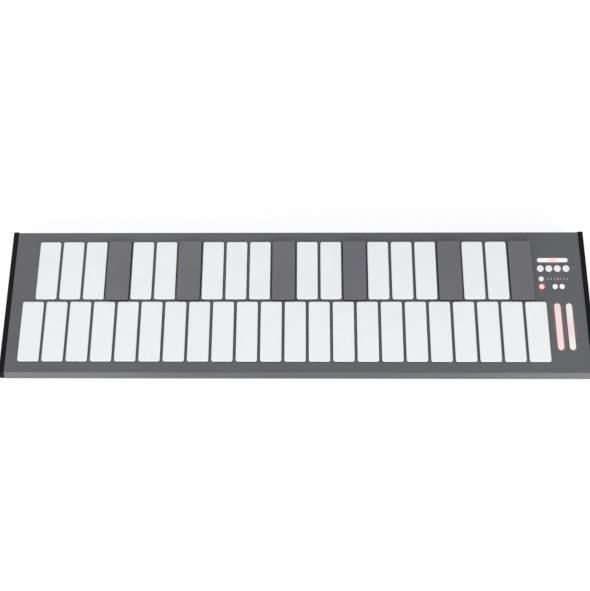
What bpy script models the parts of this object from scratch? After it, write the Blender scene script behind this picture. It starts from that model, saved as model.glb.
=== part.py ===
"""Mallet controller: a folded sheet-steel housing with two rows of silicone bars, a control area at its
right end and a moulded cap on each end.

Metres, +Z up, +X along the rows towards the controls, and the player at -Y. The origin is on the
table, under the middle of the housing."""
import math

import bmesh
import bpy
from mathutils import Matrix, Vector

# Gaps between parts
SEAT_GAP = 0.0003
WINDOW_CLEARANCE = 0.0004

# Keyboard layout: the naturals in front, and behind them a slot between each pair of neighbours
FIRST_NOTE = "f"
FIRST_OCTAVE = 3
NATURAL_COUNT = 22

# Bars
BAR_WIDTH = 0.038
BAR_LENGTH = 0.1098
BAR_PITCH = 0.04325
BAR_CORNER_RADIUS = 0.0035
BAR_EDGE = 0.0008
BAR_PROUD = 0.003
ROW_GAP = 0.0049

# Lip below the deck that keeps a bar or button in its window, and how far it can be pressed
LIP_WIDTH = 0.0012
LIP_THICKNESS = 0.002
PRESS_TRAVEL = 0.001

# Range covers, which slip over a bar
COVER_CLEARANCE = 0.0003
COVER_SIDE_WALL = 0.0016
COVER_END_WALL = 0.0009
COVER_TOP = 0.0015
COVER_EDGE = 0.0008

# Housing
SHEET = 0.0015
PAN_SHEET = 0.0012
BODY_HEIGHT = 0.046
FRONT_LEAN = 0.0024
FRONT_MARGIN = 0.0192
REAR_MARGIN = 0.0198
LEFT_MARGIN = 0.0228
CONTROL_WIDTH = 0.0702
FOLD_RADIUS = 0.0022
FRONT_LIP = 0.012

# End caps
CAP_THICKNESS = 0.0085
CAP_PROUD = 0.0015
CAP_SKIN = 0.0025
CAP_EDGE = 0.0012
CAP_CORNER_RADIUS = 0.004
PLUG_DEPTH = 0.006
PLUG_WALL = 0.002
PLUG_CORNER_RADIUS = 0.003
CAP_RIB_COUNT = 4
CAP_RIB_THICKNESS = 0.0015

# Controls, placed from the right end of the deck and from the line between the two rows
CONTROLS_FROM_RIGHT = 0.0519
BUTTON_PROUD = 0.0014
BUTTON_EDGE = 0.0006
LARGE_BUTTON_DIAMETER = 0.0126
LARGE_BUTTON_PITCH = 0.0155
LARGE_BUTTON_COUNT = 4
LARGE_BUTTON_Y = 0.0608
SMALL_BUTTON_DIAMETER = 0.0096
MODE_BUTTON_Y = 0.0412
OCTAVE_BUTTON_Y = 0.0266
OCTAVE_BUTTON_PITCH = 0.0125
LAMP_CENTRE_OFFSET = 0.007
STRIP_PROUD = 0.0006
STRIP_ROUNDNESS = 0.98
STRIP_LENGTH = 0.0562
STRIP_WIDTH = 0.0084
STRIP_Y = 0.077
FADER_LENGTH = 0.086
FADER_WIDTH = 0.0114
FADER_Y = -0.0479
FADER_PITCH = 0.0207
FADER_CENTRE_OFFSET = 0.0117

# Lamp guide: one clear moulding with a peg for each lamp
LAMP_COUNT = 7
LAMP_PITCH = 0.00592
LAMP_DIAMETER = 0.0019
LAMP_PROUD = 0.0002
LAMP_SIDES = 8
LAMP_BAR_WIDTH = 0.0045
LAMP_BAR_END = 0.003

# Main board and what carries it
BOARD_THICKNESS = 0.0016
BOARD_INSET = 0.002
BOARD_RIGHT_MARGIN = 0.012
STANDOFF_WIDTH = 0.006
STANDOFF_INSET = 0.007
STANDOFF_COLUMNS = 5

# Rear sockets: the square cable port is placed from the right end of the deck, with the jacks beside it
SOCKET_SPACE = 0.008
JACK_COUNT = 2
JACK_BODY_WIDTH = 0.016
JACK_BODY_DEPTH = 0.026
JACK_BODY_HEIGHT = 0.014
JACK_BARREL_DIAMETER = 0.0102
JACK_BORE_DIAMETER = 0.0065
JACK_BORE_DEPTH = 0.022
PORT_FROM_RIGHT = 0.042
PORT_WIDTH = 0.0122
PORT_HEIGHT = 0.0112
PORT_DEPTH = 0.0165
PORT_WALL = 0.0014
PORT_POCKET_DEPTH = 0.010
SOCKET_PROUD = 0.0008
SOCKET_HOLE_CLEARANCE = 0.0004

# Feet
FOOT_HEIGHT = 0.006
FOOT_DIAMETER = 0.020
FOOT_TAPER = 0.0015
FOOT_FROM_END = 0.060
FOOT_FROM_EDGE = 0.026
FOOT_COLUMNS = 3

# Facets, and the least radius of a corner that is offset inwards
SMALLEST_RADIUS = 0.0002
CORNER_STEPS = 2
COVER_CORNER_STEPS = 3
FOLD_STEPS = 3
ROUND_SIDES = 16
SHARP_ANGLE = math.radians(35)

# How far a cutter runs past what it cuts, and how far a welded piece is sunk
OVERRUN = 0.002
WELD = 0.0004

# Heights
PAN_BOTTOM = FOOT_HEIGHT
PAN_FLOOR = PAN_BOTTOM + PAN_SHEET
PANEL_BOTTOM = PAN_FLOOR + SEAT_GAP
DECK_TOP = PAN_BOTTOM + BODY_HEIGHT
DECK_UNDERSIDE = DECK_TOP - SHEET
PAD_LIP_TOP = -(SHEET + SEAT_GAP)
PAD_BOTTOM = PAD_LIP_TOP - LIP_THICKNESS
BOARD_TOP = DECK_TOP + PAD_BOTTOM - PRESS_TRAVEL - SEAT_GAP
BOARD_BOTTOM = BOARD_TOP - BOARD_THICKNESS
SOCKET_TOP = BOARD_BOTTOM + WELD
REAR_FLANGE_BOTTOM = SOCKET_TOP + SEAT_GAP

# Lengths and depths
DECK_LENGTH = LEFT_MARGIN + (NATURAL_COUNT - 1) * BAR_PITCH + BAR_WIDTH + CONTROL_WIDTH
DECK_DEPTH = FRONT_MARGIN + 2 * BAR_LENGTH + ROW_GAP + REAR_MARGIN
DECK_LEFT = -DECK_LENGTH / 2
DECK_RIGHT = DECK_LENGTH / 2
DECK_REAR = (DECK_DEPTH + FRONT_LEAN) / 2
DECK_FRONT = DECK_REAR - DECK_DEPTH
NATURAL_Y = DECK_FRONT + FRONT_MARGIN + BAR_LENGTH / 2
SHARP_Y = NATURAL_Y + BAR_LENGTH + ROW_GAP
ROW_LINE_Y = (NATURAL_Y + SHARP_Y) / 2
CONTROLS_X = DECK_RIGHT - CONTROLS_FROM_RIGHT
REAR_WALL_OUTSIDE = DECK_REAR - SHEET - SEAT_GAP
REAR_WALL_INSIDE = REAR_WALL_OUTSIDE - PAN_SHEET

NOTE_LETTERS = "cdefgab"
LETTERS_WITHOUT_SHARP = "be"

for old in list(bpy.data.objects):
    bpy.data.objects.remove(old, do_unlink=True)


def make_material(name, colour, roughness, metallic=0.0):
    """A Principled material; the colour is linear red, green and blue."""
    material = bpy.data.materials.new(name)
    material.use_nodes = True
    shader = material.node_tree.nodes["Principled BSDF"]
    shader.inputs["Base Color"].default_value = (*colour, 1.0)
    shader.inputs["Roughness"].default_value = roughness
    shader.inputs["Metallic"].default_value = metallic
    return material


WHITE_SILICONE = make_material("white_silicone", (0.84, 0.86, 0.88), 0.55)
GREY_SILICONE = make_material("grey_silicone", (0.16, 0.16, 0.175), 0.6)
PAINTED_STEEL = make_material("painted_steel", (0.13, 0.132, 0.135), 0.5, 0.3)
BLACK_STEEL = make_material("black_steel", (0.02, 0.02, 0.022), 0.5, 0.3)
BLACK_MOULDING = make_material("black_moulding", (0.012, 0.012, 0.013), 0.45)
LIT_DIFFUSER = make_material("lit_diffuser", (0.85, 0.8, 0.82), 0.35)
BUTTON_SILICONE = make_material("button_silicone", (0.82, 0.82, 0.85), 0.5)
BOARD_LAMINATE = make_material("board_laminate", (0.01, 0.06, 0.03), 0.4)


def arc_point(centre, radius, angle):
    return (centre[0] + radius * math.cos(angle), centre[1] + radius * math.sin(angle))


def rounded_rectangle(width, depth, radius, steps):
    """Counter-clockwise outline about the origin, with steps facets on each corner."""
    outline = []
    quarter = math.pi / 2
    for corner, (side_x, side_y) in enumerate(((1, 1), (-1, 1), (-1, -1), (1, -1))):
        centre = (side_x * (width / 2 - radius), side_y * (depth / 2 - radius))
        for step in range(steps + 1):
            outline.append(arc_point(centre, radius, quarter * (corner + step / steps)))
    return outline


def circle(diameter, sides=ROUND_SIDES):
    return [arc_point((0.0, 0.0), diameter / 2, 2 * math.pi * side / sides) for side in range(sides)]


def rectangle_like(round_outline, width, height):
    """A rectangle with one point for each point of a circle, so that a loft can join the two."""
    outline = []
    for x, y in round_outline:
        reach = max(abs(x), abs(y))
        outline.append((x / reach * width / 2, y / reach * height / 2))
    return outline


def offset_path(points, distance, closed):
    """The path moved sideways to its left by distance, with mitred corners."""
    count = len(points)
    normals = []
    for start, end in zip(points, points[1:] + points[:1]):
        along = (Vector(end) - Vector(start)).normalized()
        normals.append(Vector((-along.y, along.x)))
    moved = []
    for index in range(count):
        before = normals[index - 1] if closed or index > 0 else normals[0]
        after = normals[index] if closed or index < count - 1 else normals[count - 2]
        mitre = (before + after) / (1 + before.dot(after))
        moved.append(tuple(Vector(points[index]) + mitre * distance))
    return moved


def fillet(before, corner, after, radius, steps):
    """Points of the arc that rounds one corner of a path."""
    corner = Vector(corner)
    to_before = (Vector(before) - corner).normalized()
    to_after = (Vector(after) - corner).normalized()
    half_angle = to_before.angle(to_after) / 2
    bisector = (to_before + to_after).normalized()
    centre = corner + bisector * (radius / math.sin(half_angle))
    first = corner + to_before * (radius / math.tan(half_angle)) - centre
    last = corner + to_after * (radius / math.tan(half_angle)) - centre
    turn = first.angle_signed(last)
    arc = []
    for step in range(steps + 1):
        arc.append(tuple(centre + Matrix.Rotation(-turn * step / steps, 2) @ first))
    return arc


def round_corners(points, radius, steps, closed):
    count = len(points)
    rounded = []
    for index, corner in enumerate(points):
        if closed or 0 < index < count - 1:
            rounded += fillet(points[index - 1], corner, points[(index + 1) % count], radius, steps)
        else:
            rounded.append(corner)
    return rounded


def folded_sheet(outer_path, thickness, outer_radius):
    """Closed outline of a folded sheet. Its outer face follows outer_path, and its metal is to the left."""
    inner_path = offset_path(outer_path, thickness, closed=False)
    outer = round_corners(outer_path, outer_radius, FOLD_STEPS, closed=False)
    inner = round_corners(inner_path, outer_radius - thickness, FOLD_STEPS, closed=False)
    return outer + inner[::-1]


def loft(mesh, rings):
    """One closed body through rings of equal count, with a face on the first and on the last."""
    loops = [[mesh.verts.new(point) for point in ring] for ring in rings]
    faces = [mesh.faces.new(loops[0]), mesh.faces.new(loops[-1])]
    for lower, upper in zip(loops, loops[1:]):
        for index in range(len(lower)):
            following = (index + 1) % len(lower)
            faces.append(mesh.faces.new((lower[index], lower[following], upper[following], upper[index])))
    bmesh.ops.recalc_face_normals(mesh, faces=faces)


def flat_ring(outline, height, centre=(0.0, 0.0)):
    return [(centre[0] + x, centre[1] + y, height) for x, y in outline]


def side_ring(outline, x):
    """An outline of Y and Z pairs as a ring across the X axis."""
    return [(x, y, z) for y, z in outline]


def rear_ring(outline, y, centre):
    """An outline about a point in the rear wall, as a ring across the Y axis."""
    return [(centre[0] + across, y, centre[1] + up) for across, up in outline]


def finish_shape(name, mesh, material=None):
    data = bpy.data.meshes.new(name)
    mesh.to_mesh(data)
    mesh.free()
    if material:
        data.materials.append(material)
        data.shade_smooth()
        data.set_sharp_from_angle(angle=SHARP_ANGLE)
    return data


def place_object(name, shape, location=(0.0, 0.0, 0.0)):
    thing = bpy.data.objects.new(name, shape)
    thing.location = location
    bpy.context.scene.collection.objects.link(thing)
    return thing


def combine(target, name, mesh, operation):
    """Adds or takes away the bodies in mesh, which must not touch each other."""
    tool = place_object(name, finish_shape(name, mesh))
    tool.hide_render = True
    tool.display_type = "WIRE"
    modifier = target.modifiers.new(name, "BOOLEAN")
    modifier.operation = operation
    modifier.object = tool


def natural_x(index):
    return DECK_LEFT + LEFT_MARGIN + BAR_WIDTH / 2 + index * BAR_PITCH


def slot_x(index):
    """Centre of the rear-row slot between natural number index and the next."""
    return natural_x(index) + BAR_PITCH / 2


def note_at(index):
    """Letter and octave of natural number index, counted from the left."""
    step = NOTE_LETTERS.index(FIRST_NOTE) + index
    return NOTE_LETTERS[step % len(NOTE_LETTERS)], FIRST_OCTAVE + step // len(NOTE_LETTERS)


def bar_outline(extra=0.0):
    radius = max(BAR_CORNER_RADIUS + extra, SMALLEST_RADIUS)
    return rounded_rectangle(BAR_WIDTH + 2 * extra, BAR_LENGTH + 2 * extra, radius, CORNER_STEPS)


def pad_rings(outline_at, proud, edge, bottom=PAD_BOTTOM, centre=(0.0, 0.0), deck_top=0.0):
    """Rings of a pressed pad: a lip below the deck, then the pad up through its window."""
    lip = outline_at(LIP_WIDTH)
    side = outline_at(0.0)
    top = outline_at(-edge)
    steps = [(lip, bottom), (lip, PAD_LIP_TOP), (side, PAD_LIP_TOP), (side, proud - edge), (top, proud)]
    return [flat_ring(outline, deck_top + height, centre) for outline, height in steps]


def slots_without_sharp():
    return [index for index in range(NATURAL_COUNT - 1) if note_at(index)[0] in LETTERS_WITHOUT_SHARP]


def build_bars():
    """Each open bar is its own object, with its origin on its own press axis."""
    mesh = bmesh.new()
    loft(mesh, pad_rings(bar_outline, BAR_PROUD, BAR_EDGE))
    shape = finish_shape("bar", mesh, WHITE_SILICONE)
    for index in range(NATURAL_COUNT):
        letter, octave = note_at(index)
        place_object(f"bar_{letter}{octave}", shape, (natural_x(index), NATURAL_Y, DECK_TOP))
    for index in range(NATURAL_COUNT - 1):
        letter, octave = note_at(index)
        if letter not in LETTERS_WITHOUT_SHARP:
            place_object(f"bar_{letter}_sharp{octave}", shape, (slot_x(index), SHARP_Y, DECK_TOP))


def build_range_covers():
    """Thin-walled silicone shells, open below, each over one bar that the layout doesn't use."""
    inner = rounded_rectangle(
        BAR_WIDTH + 2 * COVER_CLEARANCE, BAR_LENGTH + 2 * COVER_CLEARANCE,
        BAR_CORNER_RADIUS + COVER_CLEARANCE, COVER_CORNER_STEPS)
    width = BAR_WIDTH + 2 * (COVER_CLEARANCE + COVER_SIDE_WALL)
    length = BAR_LENGTH + 2 * (COVER_CLEARANCE + COVER_END_WALL)
    radius = BAR_CORNER_RADIUS + COVER_CLEARANCE + COVER_END_WALL
    outer = rounded_rectangle(width, length, radius, COVER_CORNER_STEPS)
    top = rounded_rectangle(
        width - 2 * COVER_EDGE, length - 2 * COVER_EDGE, radius - COVER_EDGE, COVER_CORNER_STEPS)
    ceiling = BAR_PROUD + COVER_CLEARANCE
    height = ceiling + COVER_TOP
    mesh = bmesh.new()
    loft(mesh, [
        flat_ring(inner, ceiling),
        flat_ring(inner, SEAT_GAP),
        flat_ring(outer, SEAT_GAP),
        flat_ring(outer, height - COVER_EDGE),
        flat_ring(top, height),
    ])
    shape = finish_shape("range_cover", mesh, GREY_SILICONE)
    for number, index in enumerate(slots_without_sharp(), start=1):
        place_object(f"range_cover_{number}", shape, (slot_x(index), SHARP_Y, DECK_TOP))


def button_places():
    """Name, centre and diameter of every button."""
    first_x = CONTROLS_X - (LARGE_BUTTON_COUNT - 1) / 2 * LARGE_BUTTON_PITCH
    places = []
    for number in range(LARGE_BUTTON_COUNT):
        centre = (first_x + number * LARGE_BUTTON_PITCH, ROW_LINE_Y + LARGE_BUTTON_Y)
        places.append((f"round_button_{number + 1}", centre, LARGE_BUTTON_DIAMETER))
    for name, y in (("mode_button_rear", MODE_BUTTON_Y), ("mode_button_front", OCTAVE_BUTTON_Y)):
        places.append((name, (first_x, ROW_LINE_Y + y), SMALL_BUTTON_DIAMETER))
    for name, side in (("octave_down_button", -1), ("octave_up_button", 1)):
        x = CONTROLS_X + LAMP_CENTRE_OFFSET + side * OCTAVE_BUTTON_PITCH / 2
        places.append((name, (x, ROW_LINE_Y + OCTAVE_BUTTON_Y), SMALL_BUTTON_DIAMETER))
    return places


def build_buttons():
    for name, (x, y), diameter in button_places():
        mesh = bmesh.new()
        loft(mesh, pad_rings(lambda extra: circle(diameter + 2 * extra), BUTTON_PROUD, BUTTON_EDGE))
        place_object(name, finish_shape(name, mesh, BUTTON_SILICONE), (x, y, DECK_TOP))


def strip_places():
    """Name, centre, size along X and size along Y of the three touch strips."""
    faders_x = CONTROLS_X + FADER_CENTRE_OFFSET
    faders_y = ROW_LINE_Y + FADER_Y
    return [
        ("touch_strip", (CONTROLS_X, ROW_LINE_Y + STRIP_Y), STRIP_LENGTH, STRIP_WIDTH),
        ("left_touch_fader", (faders_x - FADER_PITCH / 2, faders_y), FADER_WIDTH, FADER_LENGTH),
        ("right_touch_fader", (faders_x + FADER_PITCH / 2, faders_y), FADER_WIDTH, FADER_LENGTH),
    ]


def strip_outline(size_x, size_y, extra):
    """Outline with almost fully round ends."""
    radius = STRIP_ROUNDNESS * min(size_x, size_y) / 2 + extra
    return rounded_rectangle(size_x + 2 * extra, size_y + 2 * extra, radius, 2 * CORNER_STEPS)


def build_touch_strips():
    """Light diffusers that stand on the main board and show through the deck."""
    for name, (x, y), size_x, size_y in strip_places():
        mesh = bmesh.new()
        loft(mesh, [
            flat_ring(strip_outline(size_x, size_y, LIP_WIDTH), BOARD_TOP - DECK_TOP + SEAT_GAP),
            flat_ring(strip_outline(size_x, size_y, LIP_WIDTH), PAD_LIP_TOP),
            flat_ring(strip_outline(size_x, size_y, 0.0), PAD_LIP_TOP),
            flat_ring(strip_outline(size_x, size_y, 0.0), STRIP_PROUD),
        ])
        place_object(name, finish_shape(name, mesh, LIT_DIFFUSER), (x, y, DECK_TOP))


def lamp_places():
    first_x = CONTROLS_X + LAMP_CENTRE_OFFSET - (LAMP_COUNT - 1) / 2 * LAMP_PITCH
    return [(first_x + number * LAMP_PITCH, ROW_LINE_Y + MODE_BUTTON_Y) for number in range(LAMP_COUNT)]


def build_lamp_guide():
    """A clear bar on the main board, with a peg up through the deck for each lamp."""
    places = lamp_places()
    left = places[0][0] - LAMP_BAR_END
    right = places[-1][0] + LAMP_BAR_END
    front = places[0][1] - LAMP_BAR_WIDTH / 2
    rear = places[0][1] + LAMP_BAR_WIDTH / 2
    outline = [(left, front), (right, front), (right, rear), (left, rear)]
    bar_top = DECK_UNDERSIDE - SEAT_GAP
    mesh = bmesh.new()
    loft(mesh, [flat_ring(outline, BOARD_TOP + SEAT_GAP), flat_ring(outline, bar_top)])
    guide = place_object("lamp_guide", finish_shape("lamp_guide", mesh, LIT_DIFFUSER))
    pegs = bmesh.new()
    peg = circle(LAMP_DIAMETER, LAMP_SIDES)
    for centre in places:
        loft(pegs, [flat_ring(peg, height, centre) for height in (bar_top - WELD, DECK_TOP + LAMP_PROUD)])
    combine(guide, "lamp_pegs", pegs, "UNION")


def front_wall_y(height):
    """Outer face of the leaning front wall."""
    return DECK_FRONT - FRONT_LEAN * (DECK_TOP - height) / (DECK_TOP - PANEL_BOTTOM)


def build_top_panel():
    """Deck, leaning front wall with a lip under it, and a short flange over the rear wall."""
    path = [
        (front_wall_y(PANEL_BOTTOM) + FRONT_LIP, PANEL_BOTTOM),
        (front_wall_y(PANEL_BOTTOM), PANEL_BOTTOM),
        (DECK_FRONT, DECK_TOP),
        (DECK_REAR, DECK_TOP),
        (DECK_REAR, REAR_FLANGE_BOTTOM),
    ]
    outline = folded_sheet(path[::-1], SHEET, FOLD_RADIUS)
    mesh = bmesh.new()
    loft(mesh, [side_ring(outline, DECK_LEFT), side_ring(outline, DECK_RIGHT)])
    panel = place_object("top_panel", finish_shape("top_panel", mesh, PAINTED_STEEL))

    holes = bmesh.new()
    bottom = DECK_UNDERSIDE - OVERRUN
    top = DECK_TOP + OVERRUN
    centres = [(natural_x(index), NATURAL_Y) for index in range(NATURAL_COUNT)]
    centres += [(slot_x(index), SHARP_Y) for index in range(NATURAL_COUNT - 1)]
    window = bar_outline(WINDOW_CLEARANCE)
    for centre in centres:
        loft(holes, [flat_ring(window, height, centre) for height in (bottom, top)])
    for _, centre, diameter in button_places():
        outline = circle(diameter + 2 * WINDOW_CLEARANCE)
        loft(holes, [flat_ring(outline, height, centre) for height in (bottom, top)])
    for _, centre, size_x, size_y in strip_places():
        outline = strip_outline(size_x, size_y, WINDOW_CLEARANCE)
        loft(holes, [flat_ring(outline, height, centre) for height in (bottom, top)])
    for centre in lamp_places():
        outline = circle(LAMP_DIAMETER + 2 * SEAT_GAP, LAMP_SIDES)
        loft(holes, [flat_ring(outline, height, centre) for height in (bottom, top)])
    combine(panel, "deck_windows", holes, "DIFFERENCE")


def board_edges():
    """Left, right, front and rear of the main board."""
    left = natural_x(0) - BAR_WIDTH / 2
    right = DECK_RIGHT - BOARD_RIGHT_MARGIN
    front = NATURAL_Y - BAR_LENGTH / 2 + BOARD_INSET
    rear = REAR_WALL_INSIDE - BOARD_INSET
    return left, right, front, rear


def build_main_board():
    """Sensor and control board. The covered bars stand on it, and the rear sockets hang from it."""
    left, right, front, rear = board_edges()
    outline = [(left, front), (right, front), (right, rear), (left, rear)]
    mesh = bmesh.new()
    loft(mesh, [flat_ring(outline, BOARD_BOTTOM), flat_ring(outline, BOARD_TOP)])
    board = place_object("main_board", finish_shape("main_board", mesh, BOARD_LAMINATE))

    covered = bmesh.new()
    bottom = BOARD_TOP - WELD - DECK_TOP
    for index in slots_without_sharp():
        centre = (slot_x(index), SHARP_Y)
        loft(covered, pad_rings(bar_outline, BAR_PROUD, BAR_EDGE, bottom, centre, DECK_TOP))
    combine(board, "covered_bars", covered, "UNION")

    sockets = bmesh.new()
    for kind, centre in socket_places():
        if kind == "jack":
            loft(sockets, jack_rings(centre))
        else:
            loft(sockets, port_rings(centre))
    combine(board, "rear_sockets", sockets, "UNION")


def standoff_places():
    """Rows of standoffs along both long edges of the board and under the line between the bar rows."""
    left, right, front, rear = board_edges()
    first_x = left + STANDOFF_INSET
    step_x = (right - left - 2 * STANDOFF_INSET) / (STANDOFF_COLUMNS - 1)
    places = []
    for column in range(STANDOFF_COLUMNS):
        for y in (front + STANDOFF_INSET, ROW_LINE_Y, rear - STANDOFF_INSET):
            places.append((first_x + column * step_x, y))
    return places


def socket_places():
    """Kind and centre in the rear wall of each socket; all hang from the main board."""
    port_x = DECK_RIGHT - PORT_FROM_RIGHT
    first_jack_x = port_x - PORT_WIDTH / 2 - SOCKET_SPACE - JACK_BODY_WIDTH / 2
    places = [("port", (port_x, SOCKET_TOP - PORT_HEIGHT / 2))]
    for number in range(JACK_COUNT):
        x = first_jack_x - number * (JACK_BODY_WIDTH + SOCKET_SPACE)
        places.append(("jack", (x, SOCKET_TOP - JACK_BODY_HEIGHT / 2)))
    return places


def build_bottom_pan():
    """Floor and rear wall from one sheet, with pressed-in hexagonal standoffs and bonded rubber feet."""
    path = [
        (front_wall_y(PANEL_BOTTOM) + SEAT_GAP, PAN_BOTTOM),
        (REAR_WALL_OUTSIDE, PAN_BOTTOM),
        (REAR_WALL_OUTSIDE, DECK_UNDERSIDE - SEAT_GAP),
    ]
    mesh = bmesh.new()
    outline = folded_sheet(path, PAN_SHEET, FOLD_RADIUS)
    loft(mesh, [side_ring(outline, DECK_LEFT), side_ring(outline, DECK_RIGHT)])
    pan = place_object("bottom_pan", finish_shape("bottom_pan", mesh, BLACK_STEEL))

    standoffs = bmesh.new()
    hexagon = circle(STANDOFF_WIDTH / math.cos(math.pi / 6), sides=6)
    for centre in standoff_places():
        loft(standoffs, [
            flat_ring(hexagon, PAN_FLOOR - WELD, centre),
            flat_ring(hexagon, BOARD_BOTTOM - SEAT_GAP, centre),
        ])
    combine(pan, "board_standoffs", standoffs, "UNION")

    feet = bmesh.new()
    for centre in foot_places():
        loft(feet, [
            flat_ring(circle(FOOT_DIAMETER - 2 * FOOT_TAPER), 0.0, centre),
            flat_ring(circle(FOOT_DIAMETER), PAN_BOTTOM + WELD, centre),
        ])
    combine(pan, "rubber_feet", feet, "UNION")

    holes = bmesh.new()
    for kind, centre in socket_places():
        if kind == "jack":
            outline = circle(JACK_BARREL_DIAMETER + 2 * SOCKET_HOLE_CLEARANCE)
        else:
            outline = rounded_rectangle(
                PORT_WIDTH + 2 * SOCKET_HOLE_CLEARANCE, PORT_HEIGHT + 2 * SOCKET_HOLE_CLEARANCE,
                PORT_WALL, CORNER_STEPS)
        near = REAR_WALL_INSIDE - OVERRUN
        far = REAR_WALL_OUTSIDE + OVERRUN
        loft(holes, [rear_ring(outline, near, centre), rear_ring(outline, far, centre)])
    combine(pan, "socket_holes", holes, "DIFFERENCE")


def jack_rings(centre):
    """Rings of a pedal jack: its block, the barrel through the rear wall and the blind bore."""
    mouth = REAR_WALL_OUTSIDE + SOCKET_PROUD
    face = REAR_WALL_INSIDE - SEAT_GAP
    barrel = circle(JACK_BARREL_DIAMETER)
    bore = circle(JACK_BORE_DIAMETER)
    body = rectangle_like(barrel, JACK_BODY_WIDTH, JACK_BODY_HEIGHT)
    return [
        rear_ring(body, face - JACK_BODY_DEPTH, centre),
        rear_ring(body, face, centre),
        rear_ring(barrel, face, centre),
        rear_ring(barrel, mouth, centre),
        rear_ring(bore, mouth, centre),
        rear_ring(bore, mouth - JACK_BORE_DEPTH, centre),
    ]


def port_rings(centre):
    """Rings of the square cable port: its shell through the rear wall and the pocket in it."""
    mouth = REAR_WALL_OUTSIDE + SOCKET_PROUD
    shell = rounded_rectangle(PORT_WIDTH, PORT_HEIGHT, PORT_WALL, CORNER_STEPS)
    pocket = rounded_rectangle(
        PORT_WIDTH - 2 * PORT_WALL, PORT_HEIGHT - 2 * PORT_WALL, PORT_WALL / 2, CORNER_STEPS)
    return [
        rear_ring(shell, mouth - PORT_DEPTH, centre),
        rear_ring(shell, mouth, centre),
        rear_ring(pocket, mouth, centre),
        rear_ring(pocket, mouth - PORT_POCKET_DEPTH, centre),
    ]


def housing_outline():
    """Corners of the closed housing, counter-clockwise seen from its right end."""
    return [
        (front_wall_y(PAN_BOTTOM), PAN_BOTTOM),
        (DECK_REAR, PAN_BOTTOM),
        (DECK_REAR, DECK_TOP),
        (DECK_FRONT, DECK_TOP),
    ]


def plug_outline():
    """Corners of the space that the end of the housing leaves open, less the seat gap."""
    bottom = PANEL_BOTTOM + SHEET + SEAT_GAP
    top = DECK_UNDERSIDE - SEAT_GAP
    front_clearance = SHEET + SEAT_GAP
    return [
        (front_wall_y(bottom) + front_clearance, bottom),
        (REAR_WALL_INSIDE - SEAT_GAP, bottom),
        (REAR_WALL_INSIDE - SEAT_GAP, top),
        (front_wall_y(top) + front_clearance, top),
    ]


def cap_ring(corners, inset, radius, x):
    moved = offset_path(corners, inset, closed=True)
    return side_ring(round_corners(moved, radius, FOLD_STEPS, closed=True), x)


def build_end_cap(name, side):
    """A rounded plate with a hollow plug that pushes into the end of the housing; side is -1 or 1."""
    inner_face = side * (DECK_LENGTH / 2 + SEAT_GAP)
    outer_face = inner_face + side * CAP_THICKNESS
    shoulder = outer_face - side * CAP_EDGE / 3
    plug_end = inner_face - side * PLUG_DEPTH
    pocket_floor = outer_face - side * CAP_SKIN
    shell = housing_outline()
    plug = plug_outline()
    full = -CAP_PROUD
    mesh = bmesh.new()
    loft(mesh, [
        cap_ring(shell, full + CAP_EDGE, CAP_CORNER_RADIUS - CAP_EDGE, outer_face),
        cap_ring(shell, full + CAP_EDGE / 4, CAP_CORNER_RADIUS - CAP_EDGE / 4, shoulder),
        cap_ring(shell, full, CAP_CORNER_RADIUS, outer_face - side * CAP_EDGE),
        cap_ring(shell, full, CAP_CORNER_RADIUS, inner_face),
        cap_ring(plug, 0.0, PLUG_CORNER_RADIUS, inner_face),
        cap_ring(plug, 0.0, PLUG_CORNER_RADIUS, plug_end),
        cap_ring(plug, PLUG_WALL, PLUG_CORNER_RADIUS - PLUG_WALL / 2, plug_end),
        cap_ring(plug, PLUG_WALL, PLUG_CORNER_RADIUS - PLUG_WALL / 2, pocket_floor),
    ])
    cap = place_object(name, finish_shape(name, mesh, BLACK_MOULDING))

    ribs = bmesh.new()
    (front, bottom), (rear, _), (_, top), _ = offset_path(plug, PLUG_WALL - WELD, closed=True)
    for number in range(CAP_RIB_COUNT):
        middle = front + (rear - front) * (number + 1) / (CAP_RIB_COUNT + 1)
        near = middle - CAP_RIB_THICKNESS / 2
        far = middle + CAP_RIB_THICKNESS / 2
        outline = [(near, bottom), (far, bottom), (far, top), (near, top)]
        loft(ribs, [side_ring(outline, pocket_floor + side * WELD), side_ring(outline, inner_face)])
    combine(cap, f"{name}_ribs", ribs, "UNION")


def foot_places():
    """Two rows of feet under the pan."""
    first_x = DECK_LEFT + FOOT_FROM_END
    step_x = (DECK_LENGTH - 2 * FOOT_FROM_END) / (FOOT_COLUMNS - 1)
    places = []
    for column in range(FOOT_COLUMNS):
        for y in (DECK_FRONT + FOOT_FROM_EDGE, DECK_REAR - FOOT_FROM_EDGE):
            places.append((first_x + column * step_x, y))
    return places


build_top_panel()
build_bottom_pan()
build_end_cap("left_end_cap", -1)
build_end_cap("right_end_cap", 1)
build_main_board()
build_touch_strips()
build_lamp_guide()
build_bars()
build_range_covers()
build_buttons()
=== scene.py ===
"""Looks of the mallet controller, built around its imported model.

Metres, in the model's own frame: +X along the rows of bars towards the controls, the player at -Y,
and +Z up from the table."""
import math

import bmesh
import bpy
from mathutils import Matrix, Vector


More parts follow.
